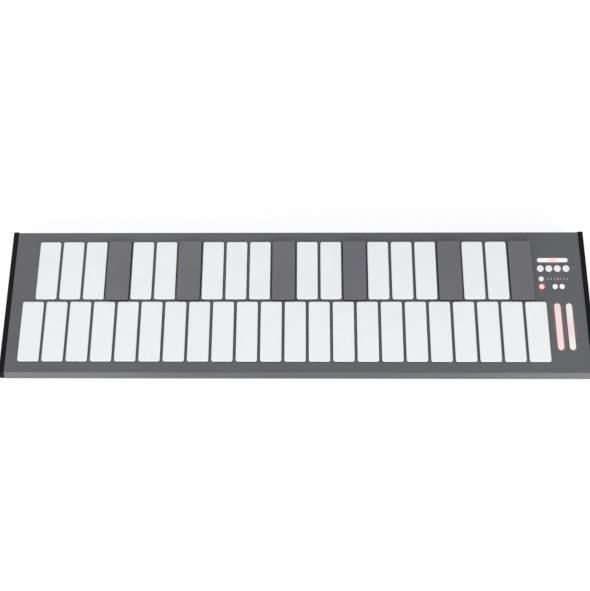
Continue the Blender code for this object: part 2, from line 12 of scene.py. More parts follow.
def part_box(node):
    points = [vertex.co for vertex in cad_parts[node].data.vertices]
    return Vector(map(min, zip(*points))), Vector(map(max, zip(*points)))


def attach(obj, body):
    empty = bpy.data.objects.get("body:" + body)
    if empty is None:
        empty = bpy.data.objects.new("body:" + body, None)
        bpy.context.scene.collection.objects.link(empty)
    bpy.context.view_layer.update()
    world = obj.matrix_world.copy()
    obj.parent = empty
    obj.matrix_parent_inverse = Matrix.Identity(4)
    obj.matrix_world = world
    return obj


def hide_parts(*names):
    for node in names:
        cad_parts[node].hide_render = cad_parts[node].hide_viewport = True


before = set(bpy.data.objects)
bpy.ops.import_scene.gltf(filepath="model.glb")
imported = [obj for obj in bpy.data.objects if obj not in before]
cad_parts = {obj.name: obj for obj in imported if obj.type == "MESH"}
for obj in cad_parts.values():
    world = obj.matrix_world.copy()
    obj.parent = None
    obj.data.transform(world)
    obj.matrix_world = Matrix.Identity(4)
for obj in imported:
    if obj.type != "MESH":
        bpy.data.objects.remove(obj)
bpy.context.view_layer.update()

# Sheet metal of the housing
DECK_DEPTH = 0.2635
SHEET = 0.0015
PAN_SHEET = 0.0012
FOLD_RADIUS = 0.0022
NOSE_REACH = 0.0097
NOSE_DROP = 0.008
NOSE_RETURN = 0.0097
FRONT_LIP = 0.012
REAR_FLANGE = 0.006
SOCKET_TOP_ABOVE_BOARD = 0.0004
SEAT_GAP = 0.0003
EDGE_BREAK = 0.00022

# Slots in the deck round the bars, the covers and the controls
BAR_SLOT = 0.001
COVER_SLOT = 0.0008
WINDOW_CLEARANCE = 0.0004

# Pressed pads: bars and buttons, each with a lip below the deck
LIP_WIDTH = 0.0012
# How far above the deck a pad's side starts to be painted black, as painted shade of its slot
PAINTED_SHADE_ABOVE_DECK = 0.0003
BAR_CORNER_RADIUS = 0.0035
BAR_EDGE_RADIUS = 0.001
BUTTON_EDGE_RADIUS = 0.0008
STRIP_EDGE_RADIUS = 0.0004
ROUNDNESS = 0.98

# Range covers
COVER_CORNER_RADIUS = 0.0047
COVER_EDGE_RADIUS = 0.0011
COVER_SIDE_WALL = 0.0016
COVER_END_WALL = 0.0009
COVER_TOP = 0.0015

# End caps
CAP_EDGE_RADIUS = 0.0012
CAP_CORNER_RADIUS = 0.004
CAP_PROUD = 0.0015
CAP_NOSE_SET_BACK = 0.0004
CAP_FIELD_MARGIN = 0.0055
CAP_FIELD_DEPTH = 0.0005
CAP_SKIN = 0.0025
PLUG_WALL = 0.002
PLUG_DEPTH = 0.006
PLUG_CORNER_RADIUS = 0.003

# Lamps, counted from the left end of the lamp guide
LAMP_COUNT = 7
LAMP_LIT = 3
LAMP_DIAMETER = 0.0019
LAMP_FROM_END = 0.003
LAMP_EDGE_RADIUS = 0.0003

# Lit stretches of the strips, as shares of their lengths, and how far the light fades beyond them
STRIP_LIT = 0.05
STRIP_BLOOM = 0.07
STRIP_FADE = 0.009
LEFT_FADER_FADE = 0.006
RIGHT_FADER_LIT = 0.06
RIGHT_FADER_BLOOM = 0.14
RIGHT_FADER_FADE = 0.018
RIGHT_FADER_BELOW_MIDDLE = 0.03
LIT_CORE = 0.2
# Reach and strength of the painted red glow in the deck's coat round the lit places
BLOOM_REACH = 0.006
BLOOM_STRENGTH = 0.14

# Rear sockets
SOCKET_PROUD = 0.0008
SOCKET_HOLE_CLEARANCE = 0.0004
JACK_BARREL_DIAMETER = 0.0102
JACK_BORE_DIAMETER = 0.0065
JACK_BORE_DEPTH = 0.022
JACK_BODY = (0.016, 0.026, 0.014)
PORT_WALL = 0.0014
PORT_SHELL = (0.0122, 0.0165, 0.0112)
PORT_POCKET_DEPTH = 0.010
PORT_TONGUE = (0.0054, 0.0085, 0.0030)
PORT_FROM_RIGHT = 0.042
JACK_COUNT = 2
SOCKET_SPACE = 0.008
BUSH_SUNK = 0.003
BUSH_FIT = SEAT_GAP / 5
NUT_ACROSS_FLATS = 0.013
NUT_THICKNESS = 0.0016

# Board, standoffs, feet and screws
BOARD_TOP_BELOW_DECK = 0.0051
BOARD_THICKNESS = 0.0016
BOARD_INSET = 0.002
BOARD_RIGHT_MARGIN = 0.012
BOARD_CORNER_RADIUS = 0.003
STANDOFF_WIDTH = 0.006
STANDOFF_INSET = 0.007
STANDOFF_COLUMNS = 5
FOOT_COLUMNS = 3
FOOT_FROM_END = 0.060
FOOT_FROM_EDGE = 0.026
FOOT_HEIGHT = 0.006
FOOT_DIAMETER = 0.020
FOOT_TAPER = 0.0015
FOOT_EDGE_RADIUS = 0.001
FOOT_RECESS_DIAMETER = 0.0085
FOOT_RECESS_DEPTH = 0.0032
SCREW_COLUMNS = 6
SCREW_FROM_END = 0.030
SCREW_FROM_EDGE = 0.0075
SCREW_HEAD_DIAMETER = 0.0056
SCREW_HEAD_HEIGHT = 0.0016
SCREW_SOCKET_RADIUS = 0.0012

# Studio
CAMERA_PLACE = (0.018743, -0.366947, 1.369208)
CAMERA_TILT = math.radians(16.0)
CAMERA_TURN = math.radians(0.8966)
CAMERA_ROLL = math.radians(-0.0131)
CAMERA_LENS = 45.981
SENSOR = 36.0
FLOOR_REACH = 4.0
FLOOR_LIFT = 0.76
FLOOR_FADE = (0.8, 1.6)
ROOM_LIGHT = 0.5

# Soft lights, each with its place, its two sides and its power in watts
SOFT_LIGHTS = {
    "front_left_softbox": ((-1.15, -2.1, 0.95), (0.8, 0.8), 30.0),
    "front_right_softbox": ((1.5, -1.9, 0.95), (0.8, 0.8), 37.0),
    "rear_left_softbox": ((-1.0, 1.1, 2.2), (1.6, 1.1), 15.0),
    "right_softbox": ((1.5, 0.3, 2.0), (1.0, 1.0), 4.5),
}
LIGHTS_AIM = (0.0, 0.0, 0.05)

# Range in which most values of a noise lie
NOISE_LOW = 0.35
NOISE_HIGH = 0.65

# Facets
ARC_STEPS = 8
EDGE_STEPS = 4
TURNED_SIDES = 48
SHARP_ANGLE = math.radians(32)
BROKEN_EDGE_ANGLE = math.radians(40)
# How far the middle of a rounded edge lies in from the square corner, as a share of its radius
ARC_MIDDLE = 0.3
WELD_DISTANCE = 0.000002

# Places read from the model
PANEL_LOW, PANEL_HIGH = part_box("top_panel")
REAR_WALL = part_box("bottom_pan")[1].y
DECK_TOP = PANEL_HIGH.z
PANEL_BOTTOM = PANEL_LOW.z
PAN_BOTTOM = FOOT_HEIGHT
DECK_REAR = PANEL_HIGH.y
DECK_FRONT = DECK_REAR - DECK_DEPTH
DECK_UNDERSIDE = DECK_TOP - SHEET
NOSE_Y = DECK_FRONT - NOSE_REACH
NOSE_Z = DECK_TOP - NOSE_DROP
PAD_LIP_TOP = DECK_UNDERSIDE - SEAT_GAP
REAR_WALL_INSIDE = REAR_WALL - PAN_SHEET
PAN_FLOOR = PAN_BOTTOM + PAN_SHEET
BOARD_TOP = DECK_TOP - BOARD_TOP_BELOW_DECK
BOARD_UNDERSIDE = BOARD_TOP - BOARD_THICKNESS
COVERS = sorted(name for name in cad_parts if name.startswith("range_cover"))
BARS = sorted(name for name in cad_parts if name.startswith("bar_"))
BUTTONS = sorted(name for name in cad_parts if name.endswith("button") or "_button_" in name)
STRIPS = ["touch_strip", "left_touch_fader", "right_touch_fader"]


def centre_of(node):
    low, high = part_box(node)
    return (low + high) / 2


def pad_size(node):
    """Size of a pad where it shows above the deck."""
    low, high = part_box(node)
    return high.x - low.x - 2 * LIP_WIDTH, high.y - low.y - 2 * LIP_WIDTH


FIRST_BAR_LOW, FIRST_BAR_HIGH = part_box("bar_f3")
ROW_LINE_Y = (FIRST_BAR_HIGH.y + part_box("bar_f_sharp3")[0].y) / 2
BOARD_EDGE_LEFT = FIRST_BAR_LOW.x + LIP_WIDTH
BOARD_EDGE_RIGHT = PANEL_HIGH.x - BOARD_RIGHT_MARGIN
BOARD_EDGE_FRONT = FIRST_BAR_LOW.y + LIP_WIDTH + BOARD_INSET
BOARD_EDGE_REAR = REAR_WALL_INSIDE - BOARD_INSET


# Materials


def linear(colour):
    """An sRGB hex colour as linear red, green, blue and alpha."""
    channels = [int(colour[start:start + 2], 16) / 255 for start in (1, 3, 5)]
    return (*[c / 12.92 if c <= 0.04045 else ((c + 0.055) / 1.055) ** 2.4 for c in channels], 1.0)


def add(tree, kind, inputs=None, **settings):
    """Adds a node with its options and inputs. An input is a value, an output that feeds it, a node
    whose first output feeds it, or a list of nodes for a socket that takes several. Such a socket puts
    its last link first, so a list is linked from its end."""
    node = tree.nodes.new(kind)
    for name, value in settings.items():
        setattr(node, name, value)
    for name, value in (inputs or {}).items():
        feeds = value[::-1] if isinstance(value, list) else [value]
        for feed in feeds:
            if isinstance(feed, bpy.types.Node):
                feed = feed.outputs[0]
            if isinstance(feed, bpy.types.NodeSocket):
                tree.links.new(feed, node.inputs[name])
            else:
                node.inputs[name].default_value = feed
    return node


def start_material(name, colour, roughness, metallic=0.0, **sockets):
    material = bpy.data.materials.new(name)
    material.use_nodes = True
    tree = material.node_tree
    shader = tree.nodes["Principled BSDF"]
    shader.inputs["Base Color"].default_value = linear(colour)
    shader.inputs["Roughness"].default_value = roughness
    shader.inputs["Metallic"].default_value = metallic
    for socket, value in sockets.items():
        shader.inputs[socket.replace("_", " ")].default_value = value
    return material, tree, shader


def noise_at(tree, size):
    """Noise whose lumps are about size metres across, on the piece's own coordinates."""
    place = add(tree, "ShaderNodeTexCoord").outputs["Object"]
    return add(tree, "ShaderNodeTexNoise", {"Vector": place, "Scale": 1 / size})


def give_grain(tree, shader, size, height):
    """Relief whose lumps are size metres across and height metres deep. Moulded skins, eroded grain, fine
    lines and a weave are really under 0.2 mm, and are drawn coarser, as coarse as they need to show."""
    relief = add(tree, "ShaderNodeBump", {"Height": noise_at(tree, size), "Distance": height})
    tree.links.new(relief.outputs["Normal"], shader.inputs["Normal"])


def mix_base(tree, shader, factor, colours):
    """The base colour goes from the first colour to the second as the factor goes from 0 to 1."""
    mix = add(tree, "ShaderNodeMix", {
        "Factor": factor, 6: linear(colours[0]), 7: linear(colours[1])}, data_type="RGBA")
    tree.links.new(mix.outputs[2], shader.inputs["Base Color"])


def glow(tree, shader, colour, amount, strength):
    """The piece gives off light where amount is above 0."""
    shader.inputs["Emission Color"].default_value = linear(colour)
    light = add(tree, "ShaderNodeMath", {0: amount, 1: strength}, operation="MULTIPLY")
    tree.links.new(light.outputs["Value"], shader.inputs["Emission Strength"])


def vary_colour(tree, shader, colours, size):
    """The base colour drifts between two close shades over patches about size metres across."""
    drift = add(tree, "ShaderNodeMapRange", {
        "Value": noise_at(tree, size), "From Min": NOISE_LOW, "From Max": NOISE_HIGH})
    mix_base(tree, shader, drift, colours)


def nearness(tree, centre, half_size, radius, reach):
    """1 inside a bar with rounded ends, seen in plan, and falling to 0 over reach metres outside it.
    Half size is that of the bar's core, which radius rounds, and height doesn't count up to 1 m."""
    place = add(tree, "ShaderNodeTexCoord").outputs["Object"]
    offset = add(tree, "ShaderNodeVectorMath", {0: place, 1: centre}, operation="SUBTRACT")
    spread = add(tree, "ShaderNodeVectorMath", {0: offset}, operation="ABSOLUTE")
    beyond = add(tree, "ShaderNodeVectorMath", {0: spread, 1: (*half_size, 1.0)}, operation="SUBTRACT")
    outside = add(tree, "ShaderNodeVectorMath", {0: beyond, 1: (0, 0, 0)}, operation="MAXIMUM")
    distance = add(tree, "ShaderNodeVectorMath", {0: outside}, operation="LENGTH")
    return add(tree, "ShaderNodeMapRange", {
        "Value": distance.outputs["Value"], "From Min": radius, "From Max": radius + reach,
        "To Min": 1.0, "To Max": 0.0}, interpolation_type="SMOOTHERSTEP")


def add_up(tree, values):
    total = values[0]
    for value in values[1:]:
        total = add(tree, "ShaderNodeMath", {0: total, 1: value}, operation="ADD")
    return total


def right_fader_light():
    """Centre of the lit stretch of the right fader."""
    length = pad_size("right_touch_fader")[1]
    return centre_of("right_touch_fader") - Vector((0, length * RIGHT_FADER_BELOW_MIDDLE, 0))


def lit_places():
    """Centre, half size and end radius of every place that is lit from below."""
    strip_length, strip_width = pad_size("touch_strip")
    fader_width, fader_length = pad_size("left_touch_fader")
    half = fader_width / 2
    return [
        (centre_of("touch_strip"), (strip_length * STRIP_BLOOM, 0.0), strip_width / 2),
        (centre_of("left_touch_fader"), (0.0, fader_length / 2 - half), half),
        (right_fader_light(), (0.0, fader_length * RIGHT_FADER_BLOOM), half),
        (centre_of("mode_button_front"), (0.0, 0.0), pad_size("mode_button_front")[0] / 2),
        (lamp_centres()[LAMP_LIT], (0.0, 0.0), LAMP_DIAMETER / 2),
    ]


def lamp_centres():
    low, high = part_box("lamp_guide")
    y = (low.y + high.y) / 2
    step = (high.x - low.x - 2 * LAMP_FROM_END) / (LAMP_COUNT - 1)
    return [Vector((low.x + LAMP_FROM_END + index * step, y, DECK_TOP)) for index in range(LAMP_COUNT)]


def powder_coated_steel():
    """Sheet steel under a baked powder coat: a satin mid grey with the coat's fine orange-peel relief,
    and a painted red glow in the coat round the lit strips and lamps, standing in for light from below."""
    material, tree, shader = start_material("powder_coated_steel", "#494A4D", 0.5, Specular_IOR_Level=0.55)
    vary_colour(tree, shader, ("#48484B", "#4B4C4F"), 0.16)
    give_grain(tree, shader, 0.0009, 0.00003)
    painted_glows = [nearness(tree, centre, half, radius, BLOOM_REACH) for centre, half, radius in lit_places()]
    # The deck itself glows red here: painted light from the lamps below
    glow(tree, shader, "#E8204A", add_up(tree, painted_glows), BLOOM_STRENGTH)
    return material


def black_powder_coat():
    """The same process in black, on the pan: it shows as a soft dark satin."""
    material, tree, shader = start_material("black_powder_coat", "#242528", 0.5)
    vary_colour(tree, shader, ("#222326", "#27282B"), 0.12)
    give_grain(tree, shader, 0.0009, 0.00004)
    return material


def white_silicone():
    """Moulded silicone rubber, filled white: matt, very slightly translucent, with a fine moulded skin."""
    material, tree, shader = start_material(
        "white_silicone", "#E2E4E5", 0.48, Subsurface_Weight=0.06, Subsurface_Scale=0.002)
    vary_colour(tree, shader, ("#E1E3E4", "#E3E5E6"), 0.05)
    give_grain(tree, shader, 0.0007, 0.00001)
    return material


def painted_slot_shade():
    """Painted shade: the same rubber shown black on the lower part of each pad, so that the slots round
    the pads read as shade.
    """
    material, tree, shader = start_material("painted_slot_shade", "#0E0E0F", 0.7)
    give_grain(tree, shader, 0.0008, 0.00002)
    return material


def grey_silicone():
    """The same rubber pigmented grey, for the covers: a shade lighter and bluer than the deck."""
    material, tree, shader = start_material("grey_silicone", "#5B5A60", 0.52)
    vary_colour(tree, shader, ("#59585E", "#5D5C62"), 0.06)
    give_grain(tree, shader, 0.0008, 0.00002)
    return material


def black_moulding():
    """ABS moulded against a spark-eroded tool: a deep black with a fine even grain."""
    material, tree, shader = start_material("grained_black_abs", "#070708", 0.5, Specular_IOR_Level=0.1)
    vary_colour(tree, shader, ("#060607", "#090909"), 0.03)
    give_grain(tree, shader, 0.0006, 0.00008)
    return material


def frosted_diffuser(name, looks, centre, half_size, radius, reach):
    """Opal polycarbonate over a row of red lamps: white, flushed pink over the lamps that are on. Its
    looks are its plain and flushed shades and the strength of its light."""
    plain, flushed, strength = looks
    material, tree, shader = start_material(name, plain, 0.35)
    lit = nearness(tree, centre, half_size, radius, reach)
    mix_base(tree, shader, lit, (plain, flushed))
    glow(tree, shader, "#FF2A44", lit, strength)
    give_grain(tree, shader, 0.0005, 0.00001)
    return material


def button_silicone(name, colour, light):
    """Translucent silicone key tops: milky, with a lamp below that tints some of them."""
    material, tree, shader = start_material(name, colour, 0.42)
    shader.inputs["Emission Color"].default_value = linear("#FF3A55")
    shader.inputs["Emission Strength"].default_value = light
    give_grain(tree, shader, 0.0005, 0.00001)
    return material


def lamp_window(name, colour, light):
    """The clear moulding's tips, polished by the tool: a small bright dot."""
    material, tree, shader = start_material(name, colour, 0.2)
    shader.inputs["Emission Color"].default_value = linear("#FF3A60")
    shader.inputs["Emission Strength"].default_value = light
    give_grain(tree, shader, 0.0004, 0.00001)
    return material


def nickel_plate():
    """Bright nickel on the socket shells: metal with a slightly warm tint and fine drawing lines."""
    material, tree, shader = start_material("nickel_plate", "#C8C4BC", 0.24, 1.0)
    give_grain(tree, shader, 0.0004, 0.00001)
    return material


def black_nylon():
    """Glass-filled nylon of the socket blocks: dull black with a faint mottle."""
    material, tree, shader = start_material("black_nylon", "#18181A", 0.55)
    give_grain(tree, shader, 0.0005, 0.00004)
    return material


def foot_rubber():
    """Moulded rubber of the feet: the dullest black here, with a coarse skin."""
    material, tree, shader = start_material("foot_rubber", "#1C1C1D", 0.8)
    give_grain(tree, shader, 0.0011, 0.00012)
    return material


def blackened_steel():
    """Screws with a black oxide finish: dark metal with a dull shine."""
    material, tree, shader = start_material("blackened_steel", "#3A3A3D", 0.38, 1.0)
    give_grain(tree, shader, 0.0004, 0.00002)
    return material


def board_laminate():
    """Glass-epoxy laminate under green solder mask: glossy, with the weave just showing through."""
    material, tree, shader = start_material("board_laminate", "#0F3D27", 0.3)
    give_grain(tree, shader, 0.0012, 0.00002)
    return material


DECK_PAINT = powder_coated_steel()
PAN_PAINT = black_powder_coat()
WHITE_SILICONE = white_silicone()
# Painted shade for the slots round the pads
PAINTED_SLOT_SHADE = painted_slot_shade()
GREY_SILICONE = grey_silicone()
BLACK_ABS = black_moulding()
NICKEL = nickel_plate()
NYLON = black_nylon()
RUBBER = foot_rubber()
SCREW_STEEL = blackened_steel()
LAMINATE = board_laminate()

# Outlines and meshes


def rounded_rectangle(width, depth, radius, steps=ARC_STEPS):
    """Counter-clockwise outline about the origin, with steps facets on each corner."""
    outline = []
    for corner, (side_x, side_y) in enumerate(((1, 1), (-1, 1), (-1, -1), (1, -1))):
        for step in range(steps + 1):
            angle = math.pi / 2 * (corner + step / steps)
            x = side_x * (width / 2 - radius) + radius * math.cos(angle)
            y = side_y * (depth / 2 - radius) + radius * math.sin(angle)
            outline.append((x, y))
    return outline


def circle(diameter, sides=TURNED_SIDES):
    turns = [2 * math.pi * side / sides for side in range(sides)]
    return [(diameter / 2 * math.cos(turn), diameter / 2 * math.sin(turn)) for turn in turns]


def offset_path(points, distance, closed):
    """The path moved sideways to its left by distance, with mitred corners."""
    count = len(points)
    normals = []
    for start, end in zip(points, points[1:] + points[:1]):
        along = (Vector(end) - Vector(start)).normalized()
        normals.append(Vector((-along.y, along.x)))
    moved = []
    for index in range(count):
        before = normals[index - 1] if closed or index > 0 else normals[0]
        after = normals[index] if closed or index < count - 1 else normals[count - 2]
        mitre = (before + after) / (1 + before.dot(after))
        moved.append(tuple(Vector(points[index]) + mitre * distance))
    return moved


def round_corners(points, radius, closed, steps=ARC_STEPS):
    """The path with an arc in place of each corner."""
    rounded = []
    for index, corner in enumerate(points):
        if not closed and index in (0, len(points) - 1):
            rounded.append(corner)
            continue
        corner = Vector(corner)
        to_before = (Vector(points[index - 1]) - corner).normalized()
        to_after = (Vector(points[(index + 1) % len(points)]) - corner).normalized()
        half_angle = to_before.angle(to_after) / 2
        centre = corner + (to_before + to_after).normalized() * (radius / math.sin(half_angle))
        first = corner + to_before * (radius / math.tan(half_angle)) - centre
        last = corner + to_after * (radius / math.tan(half_angle)) - centre
        turn = first.angle_signed(last)
        for step in range(steps + 1):
            rounded.append(tuple(centre + Matrix.Rotation(-turn * step / steps, 2) @ first))
    return rounded


def folded_sheet(path, thickness, radius):
    """Closed outline of a folded sheet. Its outer face follows path, and its metal is to the left."""
    outer = round_corners(path, radius, closed=False)
    inner = round_corners(offset_path(path, thickness, closed=False), radius - thickness, closed=False)
    return outer + inner[::-1]


def flat_ring(outline, height, centre=(0.0, 0.0)):
    return [(centre[0] + x, centre[1] + y, height) for x, y in outline]


def side_ring(outline, x):
    return [(x, y, z) for y, z in outline]


def rear_ring(outline, y, centre):
    """An outline about a point of the rear wall, as a ring across the Y axis."""
    return [(centre.x + across, y, centre.z + up) for across, up in outline]


def loft(mesh, rings, tube=False):
    """One closed body through rings of equal count: a tube's last ring joins its first, and any other
    body has a face on both."""
    loops = [[mesh.verts.new(point) for point in ring] for ring in rings]
    faces = [] if tube else [mesh.faces.new(loops[0]), mesh.faces.new(loops[-1])]
    for lower, upper in zip(loops, loops[1:] + loops[:1] if tube else loops[1:]):
        for index in range(len(lower)):
            following = (index + 1) % len(lower)
            faces.append(mesh.faces.new((lower[index], lower[following], upper[following], upper[index])))
    bmesh.ops.recalc_face_normals(mesh, faces=faces)


def make_object(name, mesh, *materials):
    data = bpy.data.meshes.new(name)
    mesh.to_mesh(data)
    mesh.free()
    for material in materials:
        data.materials.append(material)
    thing = bpy.data.objects.new(name, data)
    bpy.context.scene.collection.objects.link(thing)
    return thing


def evaluate(thing):
    """Turns an object's modifiers into its own plain mesh."""
    bpy.context.view_layer.update()
    evaluated = thing.evaluated_get(bpy.context.evaluated_depsgraph_get())
    data = bpy.data.meshes.new_from_object(evaluated)
    thing.modifiers.clear()
    thing.data = data
    return data


def settle(thing):
    """A plain closed mesh with its faces pointing out."""
    data = evaluate(thing)
    mesh = bmesh.new()
    mesh.from_mesh(data)
    bmesh.ops.remove_doubles(mesh, verts=mesh.verts, dist=WELD_DISTANCE)
    bmesh.ops.recalc_face_normals(mesh, faces=mesh.faces)
    mesh.to_mesh(data)
    mesh.free()
    return thing


def break_edges(thing, width=EDGE_BREAK):
    """A small rounded edge, as on moulded, deburred or painted parts."""
    bevel = thing.modifiers.new("broken_edges", "BEVEL")
    bevel.width = width
    bevel.segments = 2
    bevel.limit_method = "ANGLE"
    bevel.angle_limit = BROKEN_EDGE_ANGLE


def cut(thing, mesh):
    """Takes the bodies in mesh out of the object."""
    tool = make_object(thing.name + "_cutter", mesh)
    modifier = thing.modifiers.new("cut", "BOOLEAN")
    modifier.operation = "DIFFERENCE"
    modifier.object = tool
    settle(thing)
    bpy.data.objects.remove(tool)


def fit(thing, body, replaces=()):
    """Smooths a finished piece but keeps its flat faces flat, and puts it on its body, in place of the
    solids that it stands for."""
    thing.data.shade_smooth()
    thing.data.set_sharp_from_angle(angle=SHARP_ANGLE)
    thing.modifiers.new("flat_faces", "WEIGHTED_NORMAL").keep_sharp = True
    evaluate(thing)
    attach(thing, body)
    if replaces:
        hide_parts(*replaces)


# Geometry trees


def start_tree(name, inputs):
    """A geometry tree with named inputs, each with its kind of socket, and its Group Input node."""
    tree = bpy.data.node_groups.new(name, "GeometryNodeTree")
    tree.interface.new_socket("Geometry", in_out="OUTPUT", socket_type="NodeSocketGeometry")
    tree.interface.new_socket("Geometry", in_out="INPUT", socket_type="NodeSocketGeometry")
    for label, kind in inputs.items():
        tree.interface.new_socket(label, in_out="INPUT", socket_type="NodeSocket" + kind)
    return tree, add(tree, "NodeGroupInput").outputs


def end_tree(tree, geometry, material, other=None, chosen=None):
    """Ends a tree, with the other material on the chosen faces where they are given."""
    real = add(tree, "GeometryNodeRealizeInstances", {"Geometry": geometry})
    painted = add(tree, "GeometryNodeSetMaterial", {"Geometry": real, "Material": material})
    if other:
        painted = add(tree, "GeometryNodeSetMaterial", {
            "Geometry": painted, "Selection": chosen, "Material": other})
    add(tree, "NodeGroupOutput", {"Geometry": painted})


def end_on_points(tree, given, piece, **more):
    """Ends a tree with a copy of the piece on each of the given points."""
    placed = add(tree, "GeometryNodeInstanceOnPoints", {
        "Points": given["Geometry"], "Instance": piece, **more})
    end_tree(tree, placed, given["Finish"])


def grow(name, tree, values, points=()):
    """Evaluates a geometry tree on a few points, and keeps the result as a plain mesh."""
    mesh = bmesh.new()
    for point in points:
        mesh.verts.new(point)
    thing = make_object(name, mesh)
    modifier = thing.modifiers.new("tree", "NODES")
    modifier.node_group = tree
    for item in tree.interface.items_tree:
        if item.in_out == "INPUT" and item.name in values:
            modifier[item.identifier] = values[item.name]
    return settle(thing)


def path_curve(tree, points):
    """A polyline through points, each a distance out and a height."""
    places = add(tree, "GeometryNodeIndexSwitch", data_type="VECTOR")
    while len(places.index_switch_items) < len(points):
        places.index_switch_items.new()
    for index, (out, height) in enumerate(points):
        point = add(tree, "ShaderNodeCombineXYZ", {"X": out, "Y": height})
        tree.links.new(point.outputs[0], places.inputs[index + 1])
    tree.links.new(add(tree, "GeometryNodeInputIndex").outputs[0], places.inputs[0])
    line = add(tree, "GeometryNodeMeshLine", {"Count": len(points)})
    bent = add(tree, "GeometryNodeSetPosition", {"Geometry": line, "Position": places})
    return add(tree, "GeometryNodeMeshToCurve", {"Mesh": bent})


def rounding(tree, radius):
    """A quarter arc from a flat top at height 0 down to a side at distance radius."""
    arc = add(tree, "GeometryNodeCurveArc", {
        "Resolution": EDGE_STEPS + 1, "Radius": radius, "Start Angle": 0.0, "Sweep Angle": math.pi / 2})
    centre_height = add(tree, "ShaderNodeMath", {0: radius, 1: -1.0}, operation="MULTIPLY")
    centre = add(tree, "ShaderNodeCombineXYZ", {"Y": centre_height})
    return add(tree, "GeometryNodeTransform", {"Geometry": arc, "Translation": centre})


def sweep(tree, outline, profile, top, bottom):
    """A closed body: the profile runs round the outline, and the outline is filled at both its ends."""
    upright = add(tree, "GeometryNodeSetCurveNormal", {"Curve": outline}, mode="Z_UP")
    turned = add(tree, "GeometryNodeTransform", {"Geometry": profile, "Scale": (1.0, -1.0, 1.0)})
    skin = add(tree, "GeometryNodeCurveToMesh", {"Curve": upright, "Profile Curve": turned})
    fill = add(tree, "GeometryNodeFillCurve", {"Curve": outline}, mode="NGONS")
    ends = []
    for height in (top, bottom):
        lift = add(tree, "ShaderNodeCombineXYZ", {"Z": height})
        ends.append(add(tree, "GeometryNodeTransform", {"Geometry": fill, "Translation": lift}))
    whole = add(tree, "GeometryNodeJoinGeometry", {"Geometry": [skin, *ends]})
    return add(tree, "GeometryNodeMergeByDistance", {"Geometry": whole, "Distance": WELD_DISTANCE})


def domed_disc(tree, given, sides):
    """A disc with its flat top at height 0 and a rounded edge, for screw heads and light pegs."""
    edge = given["Edge Radius"]
    radius = add(tree, "ShaderNodeMath", {0: given["Diameter"], 1: 0.5}, operation="MULTIPLY")
    flat = add(tree, "ShaderNodeMath", {0: radius, 1: edge}, operation="SUBTRACT")
    side_top = add(tree, "ShaderNodeMath", {0: edge, 1: -1.0}, operation="MULTIPLY")
    bottom = add(tree, "ShaderNodeMath", {0: given["Height"], 1: -1.0}, operation="MULTIPLY")
    outline = add(tree, "GeometryNodeCurvePrimitiveCircle", {"Resolution": sides, "Radius": flat})
    wall = path_curve(tree, [(edge, side_top), (edge, bottom), (0.0, bottom)])
    profile = add(tree, "GeometryNodeJoinGeometry", {"Geometry": [rounding(tree, edge), wall]})
    return sweep(tree, outline, profile, 0.0, bottom)


def pad_tree():
    """A moulded pad: a rounded top, straight sides down through its window, and a lip below the deck.
    Below the part that is shown it is painted black, as painted shade in the slot round it."""
    tree, given = start_tree("moulded_pad", {
        "Width": "Float", "Length": "Float", "Corner Radius": "Float", "Corner Steps": "Int",
        "Edge Radius": "Float", "Shown": "Float", "Height": "Float", "Lip Width": "Float",
        "Lip Thickness": "Float", "Centre": "Vector", "Finish": "Material", "Painted Shade Finish": "Material"})
    edge = given["Edge Radius"]
    twice_edge = add(tree, "ShaderNodeMath", {0: edge, 1: 2.0}, operation="MULTIPLY")
    width = add(tree, "ShaderNodeMath", {0: given["Width"], 1: twice_edge}, operation="SUBTRACT")
    length = add(tree, "ShaderNodeMath", {0: given["Length"], 1: twice_edge}, operation="SUBTRACT")
    corner = add(tree, "ShaderNodeMath", {0: given["Corner Radius"], 1: edge}, operation="SUBTRACT")
    flat_top = add(tree, "GeometryNodeCurvePrimitiveQuadrilateral", {"Width": width, "Height": length})
    outline = add(tree, "GeometryNodeFilletCurve", {
        "Curve": flat_top, "Radius": corner, "Count": given["Corner Steps"]}, mode="POLY")
    side_top = add(tree, "ShaderNodeMath", {0: edge, 1: -1.0}, operation="MULTIPLY")
    shade_top = add(tree, "ShaderNodeMath", {0: given["Shown"], 1: -1.0}, operation="MULTIPLY")
    side_bottom = add(tree, "ShaderNodeMath", {0: given["Height"], 1: -1.0}, operation="MULTIPLY")
    lip_edge = add(tree, "ShaderNodeMath", {0: edge, 1: given["Lip Width"]}, operation="ADD")
    lip_bottom = add(tree, "ShaderNodeMath", {
        0: side_bottom, 1: given["Lip Thickness"]}, operation="SUBTRACT")
    wall = path_curve(tree, [
        (edge, side_top), (edge, shade_top), (edge, side_bottom),
        (lip_edge, side_bottom), (lip_edge, lip_bottom), (0.0, lip_bottom)])
    profile = add(tree, "GeometryNodeJoinGeometry", {"Geometry": [rounding(tree, edge), wall]})
    pad = sweep(tree, outline, profile, 0.0, lip_bottom)
    placed = add(tree, "GeometryNodeTransform", {"Geometry": pad, "Translation": given["Centre"]})
    place = add(tree, "ShaderNodeSeparateXYZ", {0: add(tree, "GeometryNodeInputPosition")})
    centre = add(tree, "ShaderNodeSeparateXYZ", {0: given["Centre"]})
    # Faces below this line take the painted shade finish
    shade_line = add(tree, "ShaderNodeMath", {0: centre.outputs["Z"], 1: shade_top}, operation="ADD")
    in_painted_shade = add(tree, "ShaderNodeMath", {0: place.outputs["Z"], 1: shade_line}, operation="LESS_THAN")
    end_tree(tree, placed, given["Finish"], given["Painted Shade Finish"], in_painted_shade)
    return tree


